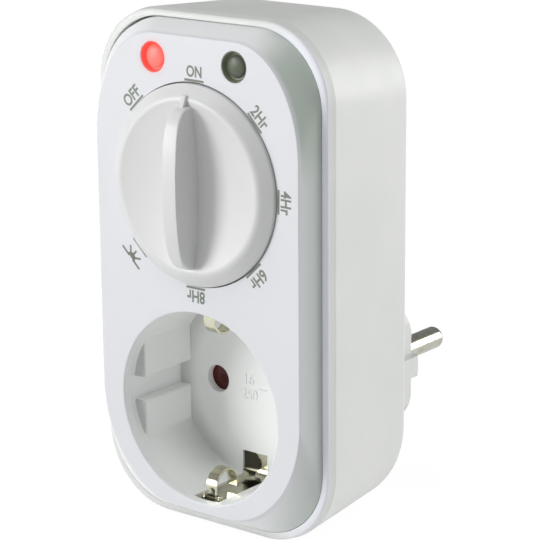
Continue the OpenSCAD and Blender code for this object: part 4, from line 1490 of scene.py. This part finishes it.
@dataclass
class SelectorKnob:
    """The selector knob: a dish with a raised ring, a grip and a small pointer."""

    finishes: Finishes
    radius: float = 19.72
    wall_up: float = 0.62
    crest_r: float = 16.75
    dish: float = 1.0
    dish_r: float = 92.0
    rear: float = 1.9
    rear_r: float = 12.0
    rear_round: float = 0.3
    hub_r: float = 5.0
    hub_deep: float = 7.0
    bore_r: float = 3.05
    bore_flat: float = 1.65
    bore_floor: float = 0.6
    # Top of the outer wall: radius from the knob's, and level from the wall's top
    wall_shape: tuple[Point, ...] = ((0.0, 0.14), (-0.05, 0.0), (-0.18, -0.16))
    # The raised ring: radius from its crest's, and depth below the crest
    ring_shape: tuple[Point, ...] = ((1.22, 0.5), (0.88, 0.24), (0.5, 0.09), (0.2, 0.0),
                                     (-0.3, 0.01))
    dish_rings: tuple[float, ...] = (16.2, 15, 13, 11, 9, 7, 5, 3, 1.4)
    grip_foot: float = 0.4
    grip_edge: float = 0.03
    sections: tuple[GripSection, ...] = (
        GripSection(0.0, 1.84, 1.70, 7.44, 1.52, 7.62),
        GripSection(4.0, 1.83, 1.70, 7.36, 1.52, 7.55),
        GripSection(8.0, 1.80, 1.70, 7.02, 1.50, 7.24),
        GripSection(10.0, 1.78, 1.69, 6.70, 1.46, 6.98),
        GripSection(12.0, 1.75, 1.68, 6.16, 1.38, 6.54),
        GripSection(13.0, 1.73, 1.67, 5.74, 1.31, 6.20),
        GripSection(14.0, 1.70, 1.66, 5.12, 1.20, 5.70),
        GripSection(14.7, 1.68, 1.64, 4.50, 1.08, 5.16),
        GripSection(15.2, 1.65, 1.61, 3.90, 0.96, 4.58),
        GripSection(15.5, 1.60, 1.54, 3.42, 0.84, 4.02),
        GripSection(15.7, 1.45, 1.38, 2.95, 0.70, 3.42),
        GripSection(15.8, 1.20, 1.10, 2.60, 0.55, 2.90),
    )
    pointer_half: float = 0.6
    pointer_span: Span = (15.2, 17.85)
    pointer_up: float = 2.66
    pointer_drop: float = 1.15
    pointer_sunk: float = 0.2

    def dish_level(self, radius: float) -> float:
        """Height of the dished face at a radius, above the panel's flat."""
        return self.dish + self.dish_r - math.sqrt(self.dish_r ** 2 - radius ** 2)

    def face(self) -> Piece:
        """The dish with its ring and its outer slope, and the hub behind it.

        Returns:
            The turned part of the knob.
        """
        rear, top = FRONT_Y + self.rear, FRONT_Y - self.wall_up
        crest = FRONT_Y - self.dish_level(self.crest_r)
        profile = [(self.rear_r, rear), (self.radius - self.rear_round, rear),
                   (self.radius, rear - self.rear_round)]
        profile += [(self.radius + out, top + deep) for out, deep in self.wall_shape]
        profile += [(self.crest_r + out, crest + deep) for out, deep in self.ring_shape]
        profile += [(radius, FRONT_Y - self.dish_level(radius)) for radius in self.dish_rings]
        profile.append((0, FRONT_Y - self.dish))
        face = Bench.turned(profile, 0, KNOB_UP, 144)
        hub, half = FRONT_Y + self.hub_deep, self.hub_r
        Bench.fuse(face, Bench.drum(self.hub_r, (rear - CLEAR, hub), 0, KNOB_UP, 48))
        bore = Bench.drum(self.bore_r, (FRONT_Y + self.bore_floor, hub + CLEAR), 0, KNOB_UP, 48)
        Bench.cut(bore, Bench.block((-half, FRONT_Y, KNOB_UP + self.bore_flat),
                                    (half, hub + 2 * CLEAR, KNOB_UP + half)))
        Bench.cut(face, bore)
        return face

    def grip(self) -> Piece:
        """The grip: a skin bridged over its sections, one after another.

        Returns:
            The grip.
        """
        lower = [replace(section, z=-section.z) for section in self.sections[:0:-1]]
        rows = (*lower, *self.sections)
        return Bench.skin([self.ring(section, k) for k, section in enumerate(rows)])

    def ring(self, section: GripSection, number: int) -> Piece:
        """A ring of points moved to their places around a section of the grip.

        Args:
            section: the section's place and sizes.
            number: its number among the rings of the skin.

        Returns:
            The ring.
        """
        base, crest = FRONT_Y - self.grip_foot, FRONT_Y - section.crest_up
        crease = FRONT_Y - section.crease_up
        bend = section.crest_up - section.crease_up - self.grip_edge
        half = [(section.foot, base), (section.crease, crease)]
        half += [(section.shoulder + (section.crease - section.shoulder) * math.cos(a),
                  crease - bend * math.sin(a)) for a in (0.4, 0.8, 1.2)]
        half += [(section.shoulder, crest + self.grip_edge), (section.shoulder * 0.5, crest)]
        points = half + [(-x, y) for x, y in reversed(half)]
        Bench.take()
        bpy.ops.mesh.primitive_circle_add(vertices=len(points), radius=MM,
                                          location=(0, 0, (KNOB_UP + section.z) * MM))
        ring = bpy.context.object
        bpy.ops.object.transform_apply()
        with Bench.editing(ring):
            mesh = bmesh.from_edit_mesh(ring.data)
            middle = (base + crest) / 2
            order = sorted(mesh.verts, key=lambda v: math.atan2(v.co.y, v.co.x))
            points.sort(key=lambda p: math.atan2(p[1] - middle, p[0]))
            for vert, (x, y) in zip(order, points):
                vert.co.x, vert.co.y = x * MM, y * MM
            bmesh.update_edit_mesh(ring.data)
            Bench.number_ring(ring, number)
        return ring

    def pointer(self) -> Piece:
        """The small pointer between the grip's end and the ring.

        Returns:
            The pointer.
        """
        low = FRONT_Y - self.dish - self.pointer_sunk
        near, far = (KNOB_UP + reach for reach in self.pointer_span)
        pointer = Bench.block((-self.pointer_half, low - self.pointer_up, near),
                              (self.pointer_half, low, far))
        with Bench.editing(pointer):
            Bench.pick(Kind.POINTS, lambda p: p.z > far - NEAR and p.y < low - 2)
            bpy.ops.transform.translate(value=(0, self.pointer_drop * MM, 0))
        Bench.soften(pointer, 0.22, 30, 3)
        return pointer

    def build(self) -> None:
        """Builds the knob."""
        face = self.face()
        Bench.fuse(face, self.grip(), self.pointer())
        self.finishes.dress(face, "selector_knob", Body.SELECTOR, "knob_white", ["knob"], 30)


@dataclass
class Windows:
    """The two round windows above the knob: a lit lens and a dull one over the sensor."""

    finishes: Finishes
    radius: float = 2.95
    rim: float = 0.75
    rim_deep: float = 2.05
    dome_r: float = 2.2
    dome: float = 0.7
    dome_deep: float = 0.95

    def lens(self, name: str, x: float, node: str) -> None:
        """One window: a dome on a rim, seated at the back of its hole.

        Args:
            name: name of the piece.
            x: place of the window.
            node: the node that it stands for.
        """
        y0, rim_y, foot = FRONT_Y, FRONT_Y + self.rim_deep, FRONT_Y + self.dome_deep
        profile = [(self.radius + self.rim, y0 + 3.1), (self.radius + self.rim, rim_y),
                   (self.radius, rim_y), (self.radius, y0 + 0.14), (self.radius - 0.06, y0 + 0.06),
                   (self.radius - 0.16, y0 + 0.06), (2.5, y0 + 0.9), (self.dome_r + 0.1, foot)]
        profile += [(self.dome_r * math.cos(a), foot - self.dome * math.sin(a))
                    for a in (0.0, 0.25, 0.5, 0.75, 1.0, 1.25, 1.45)]
        profile.append((0, foot - self.dome))
        lens = Bench.turned(profile, x, WINDOW_UP, 64)
        self.finishes.dress(lens, name, Body.CASE, NODE_SLOTS[node], [node], 50)

    def build(self) -> None:
        """Builds both windows."""
        self.lens("lamp_window", -WINDOW_X, "indicator_lens")
        self.lens("sensor_window", WINDOW_X, "sensor_lens")


@dataclass(frozen=True)
class Mark:
    """A legend of the dial, or a line alone where it has no text."""

    text: str
    angle: float
    height: float = 2.4
    aside: float = 0.0
    out: float = 0.0
    line: float = 0.46


@dataclass
class Legends:
    """The printed legends round the knob."""

    finishes: Finishes
    bar_r: float = 20.27
    text_r: float = 22.0
    bar_half: float = 2.35
    sunk: float = 0.05
    proud: float = 0.012
    marks: tuple[Mark, ...] = (
        Mark("OFF", -44.6, 2.35, out=0.05), Mark("ON", 0.9, 2.12), Mark("2Hr", 46.8),
        Mark("4Hr", 91.0), Mark("6Hr", 135.6, aside=0.30, out=0.32), Mark("8Hr", 180.4),
        Mark("", -135.2, line=0.30))
    squeeze: float = 0.82
    heavy: float = 0.085
    sun_out: float = 16.7
    sun_turn: float = 45.0
    sun_r: float = 1.15
    ray_half: float = 0.22
    ray_in: float = 0.6
    # Rays of the sun: angle, and reach from its middle
    rays: tuple[Point, ...] = ((-90, 3.0), (-45, 2.5), (0, 2.1), (45, 2.55), (90, 3.0))

    def printed(self, half: float, low: float, high: float) -> Piece:
        """A flat printed bar on the front, from one height to another."""
        return Bench.block((-half, FRONT_Y - self.proud, low), (half, FRONT_Y + self.sunk, high))

    def bar(self, mark: Mark) -> Piece:
        """The line under a legend.

        Args:
            mark: the legend.

        Returns:
            The line.
        """
        bar = self.printed(self.bar_half, self.bar_r - mark.line / 2, self.bar_r + mark.line / 2)
        spin = Matrix.Rotation(math.radians(mark.angle), 4, "Y")
        bar.data.transform(Matrix.Translation((0, 0, KNOB_UP * MM)) @ spin)
        return bar

    def words(self, mark: Mark) -> Piece:
        """The words of a legend.

        Args:
            mark: the legend.

        Returns:
            The words.
        """
        turn = math.radians(mark.angle)
        reach = self.text_r + mark.out
        place = (reach * math.sin(turn) + mark.aside * math.cos(turn), FRONT_Y,
                 KNOB_UP + reach * math.cos(turn) - mark.aside * math.sin(turn))
        lettering = Lettering(mark.text, mark.height, self.squeeze, self.heavy)
        return lettering.build(place, mark.angle, self.proud)

    def sun(self) -> Piece:
        """The half sun with its rays.

        Returns:
            The sun as one mesh.
        """
        centre = Vector((-self.sun_out, 0, KNOB_UP - self.sun_out)) * MM
        disc = Bench.drum(self.sun_r, (FRONT_Y - self.proud, FRONT_Y + self.sunk), steps=32)
        half = 2 * self.sun_r
        Bench.cut(disc, Bench.block((-half, FRONT_Y - CLEAR, -half), (half, FRONT_Y + CLEAR, 0)))
        for angle, reach in self.rays:
            ray = self.printed(self.ray_half, self.ray_in, reach)
            ray.data.transform(Matrix.Rotation(math.radians(angle), 4, "Y"))
            Bench.join(disc, ray)
        spin = Matrix.Rotation(math.radians(self.sun_turn), 4, "Y")
        disc.data.transform(Matrix.Translation(centre) @ spin)
        return disc

    def build(self) -> None:
        """Builds all the legends as one print."""
        made = []
        for mark in self.marks:
            made.append(self.bar(mark))
            if mark.text:
                made.append(self.words(mark))
        made.append(self.sun())
        Bench.join(*made)
        self.finishes.dress(made[0], "dial_legends", Body.CASE, "panel_white",
                            finish="legend_grey")


# ---------------------------------------------------------------------------- studio


@dataclass(frozen=True)
class Lamp:
    """A soft square lamp that is aimed at the middle of the switch."""

    name: str
    place: Place
    size: float
    power: float
    aim: Place = (0.0, -0.035, 0.025)

    def build(self) -> None:
        """Builds the lamp."""
        Bench.take()
        bpy.ops.object.light_add(type="AREA", location=self.place)
        lamp = bpy.context.object
        lamp.name = self.name
        lamp.data.shape = "SQUARE"
        lamp.data.size = self.size
        lamp.data.energy = self.power
        aim = Vector(self.aim) - Vector(self.place)
        lamp.rotation_euler = aim.to_track_quat("-Z", "Y").to_euler()


@dataclass
class Studio:
    """Pale floor, white surround and soft lamps."""

    floor_z: float = -25.8
    floor_glow: float = 1.08
    floor_share: float = 0.86
    world: float = 0.295
    lamps: tuple[Lamp, ...] = (
        Lamp("key", (-0.98, -1.12, 0.24), 0.56, 12.8),
        Lamp("overhead", (-0.30, -0.60, 1.38), 0.9, 6.2),
        Lamp("rear_right", (0.95, 1.05, 0.35), 0.9, 15.6),
    )

    def floor(self) -> None:
        """The floor, which shows the object's shadow on white."""
        Bench.take()
        bpy.ops.mesh.primitive_plane_add(size=12, location=(0, 0, self.floor_z * MM))
        floor = bpy.context.object
        floor.name = "floor"
        sheet = NodeSheet("floor_paper")
        sheet.paint(sheet.blend(sheet.noise(3.0), (0.86, 0.86, 0.86), (0.88, 0.88, 0.88)))
        sheet.feed("Roughness", 0.9)
        sheet.feed("Specular IOR Level", 0.0)
        glow = sheet.add("ShaderNodeEmission")
        sheet.put(glow.inputs["Color"], (1, 1, 1))
        sheet.put(glow.inputs["Strength"], self.floor_glow)
        path = sheet.add("ShaderNodeLightPath")
        seen = sheet.larger(path.outputs["Is Camera Ray"], path.outputs["Is Glossy Ray"])
        seen = sheet.larger(seen, path.outputs["Is Transmission Ray"])
        mix = sheet.add("ShaderNodeMixShader")
        sheet.put(mix.inputs[0], sheet.times(seen, self.floor_share))
        sheet.put(mix.inputs[1], sheet.shader.outputs[0])
        sheet.put(mix.inputs[2], glow.outputs[0])
        output = next(n for n in sheet.tree.nodes if n.type == "OUTPUT_MATERIAL")
        sheet.put(output.inputs["Surface"], mix.outputs[0])
        floor.data.materials.append(sheet.material)

    def surround(self) -> None:
        """The world: an even light that the camera sees as white."""
        world = bpy.data.worlds.new("surround")
        bpy.context.scene.world = world
        world.use_nodes = True
        tree = world.node_tree
        light = tree.nodes["Background"]
        light.inputs["Color"].default_value = (0.99, 1.0, 1.0, 1)
        light.inputs["Strength"].default_value = self.world
        white = tree.nodes.new("ShaderNodeBackground")
        white.inputs["Color"].default_value = (1, 1, 1, 1)
        white.inputs["Strength"].default_value = 1.0
        path = tree.nodes.new("ShaderNodeLightPath")
        mix = tree.nodes.new("ShaderNodeMixShader")
        tree.links.new(path.outputs["Is Camera Ray"], mix.inputs[0])
        tree.links.new(light.outputs[0], mix.inputs[1])
        tree.links.new(white.outputs[0], mix.inputs[2])
        tree.links.new(mix.outputs[0], tree.nodes["World Output"].inputs["Surface"])

    def build(self) -> None:
        """Builds the studio."""
        self.floor()
        self.surround()
        for lamp in self.lamps:
            lamp.build()


@dataclass
class ProductCamera:
    """The camera, at its distance and angle from the middle of the panel."""

    target: Place = (18.135, -49.6, 27.953)
    yaw: float = 38.285
    pitch: float = 15.617
    roll: float = -0.488
    distance: float = 417.77
    lens: float = 148.557
    shift: Point = (-0.0004, 0.0311)

    def build(self) -> None:
        """Builds the camera and makes it the scene's."""
        yaw, pitch, roll = (math.radians(a) for a in (self.yaw, self.pitch, self.roll))
        back = Vector((math.sin(yaw) * math.cos(pitch), -math.cos(yaw) * math.cos(pitch),
                       math.sin(pitch)))
        right = Vector((math.cos(yaw), math.sin(yaw), 0))
        up = back.cross(right)
        across = math.cos(roll) * right + math.sin(roll) * up
        upward = -math.sin(roll) * right + math.cos(roll) * up
        place = (Vector(self.target) + back * self.distance) * MM
        data = bpy.data.cameras.new("camera")
        data.lens = self.lens
        data.sensor_width = 36.0
        data.shift_x, data.shift_y = self.shift
        data.clip_start = 0.01
        data.clip_end = 30.0
        camera = bpy.data.objects.new("camera", data)
        bpy.context.scene.collection.objects.link(camera)
        axes = Matrix((across, upward, back)).transposed().to_4x4()
        camera.matrix_world = Matrix.Translation(place) @ axes
        bpy.context.scene.camera = camera


def main() -> None:
    """Builds the switch, the studio and the camera."""
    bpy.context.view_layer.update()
    bpy.context.scene.view_settings.view_transform = "Standard"
    finishes = Finishes()
    finishes.prepare()
    finishes.dress_nodes()
    for part in (HousingShell(finishes), FrontPanel(finishes), SocketCup(finishes),
                 Contacts(finishes), SelectorKnob(finishes), Windows(finishes),
                 Legends(finishes), Studio(), ProductCamera()):
        part.build()
        LOG.info("built: %s", type(part).__name__)


if __name__ == "__main__":
    main()
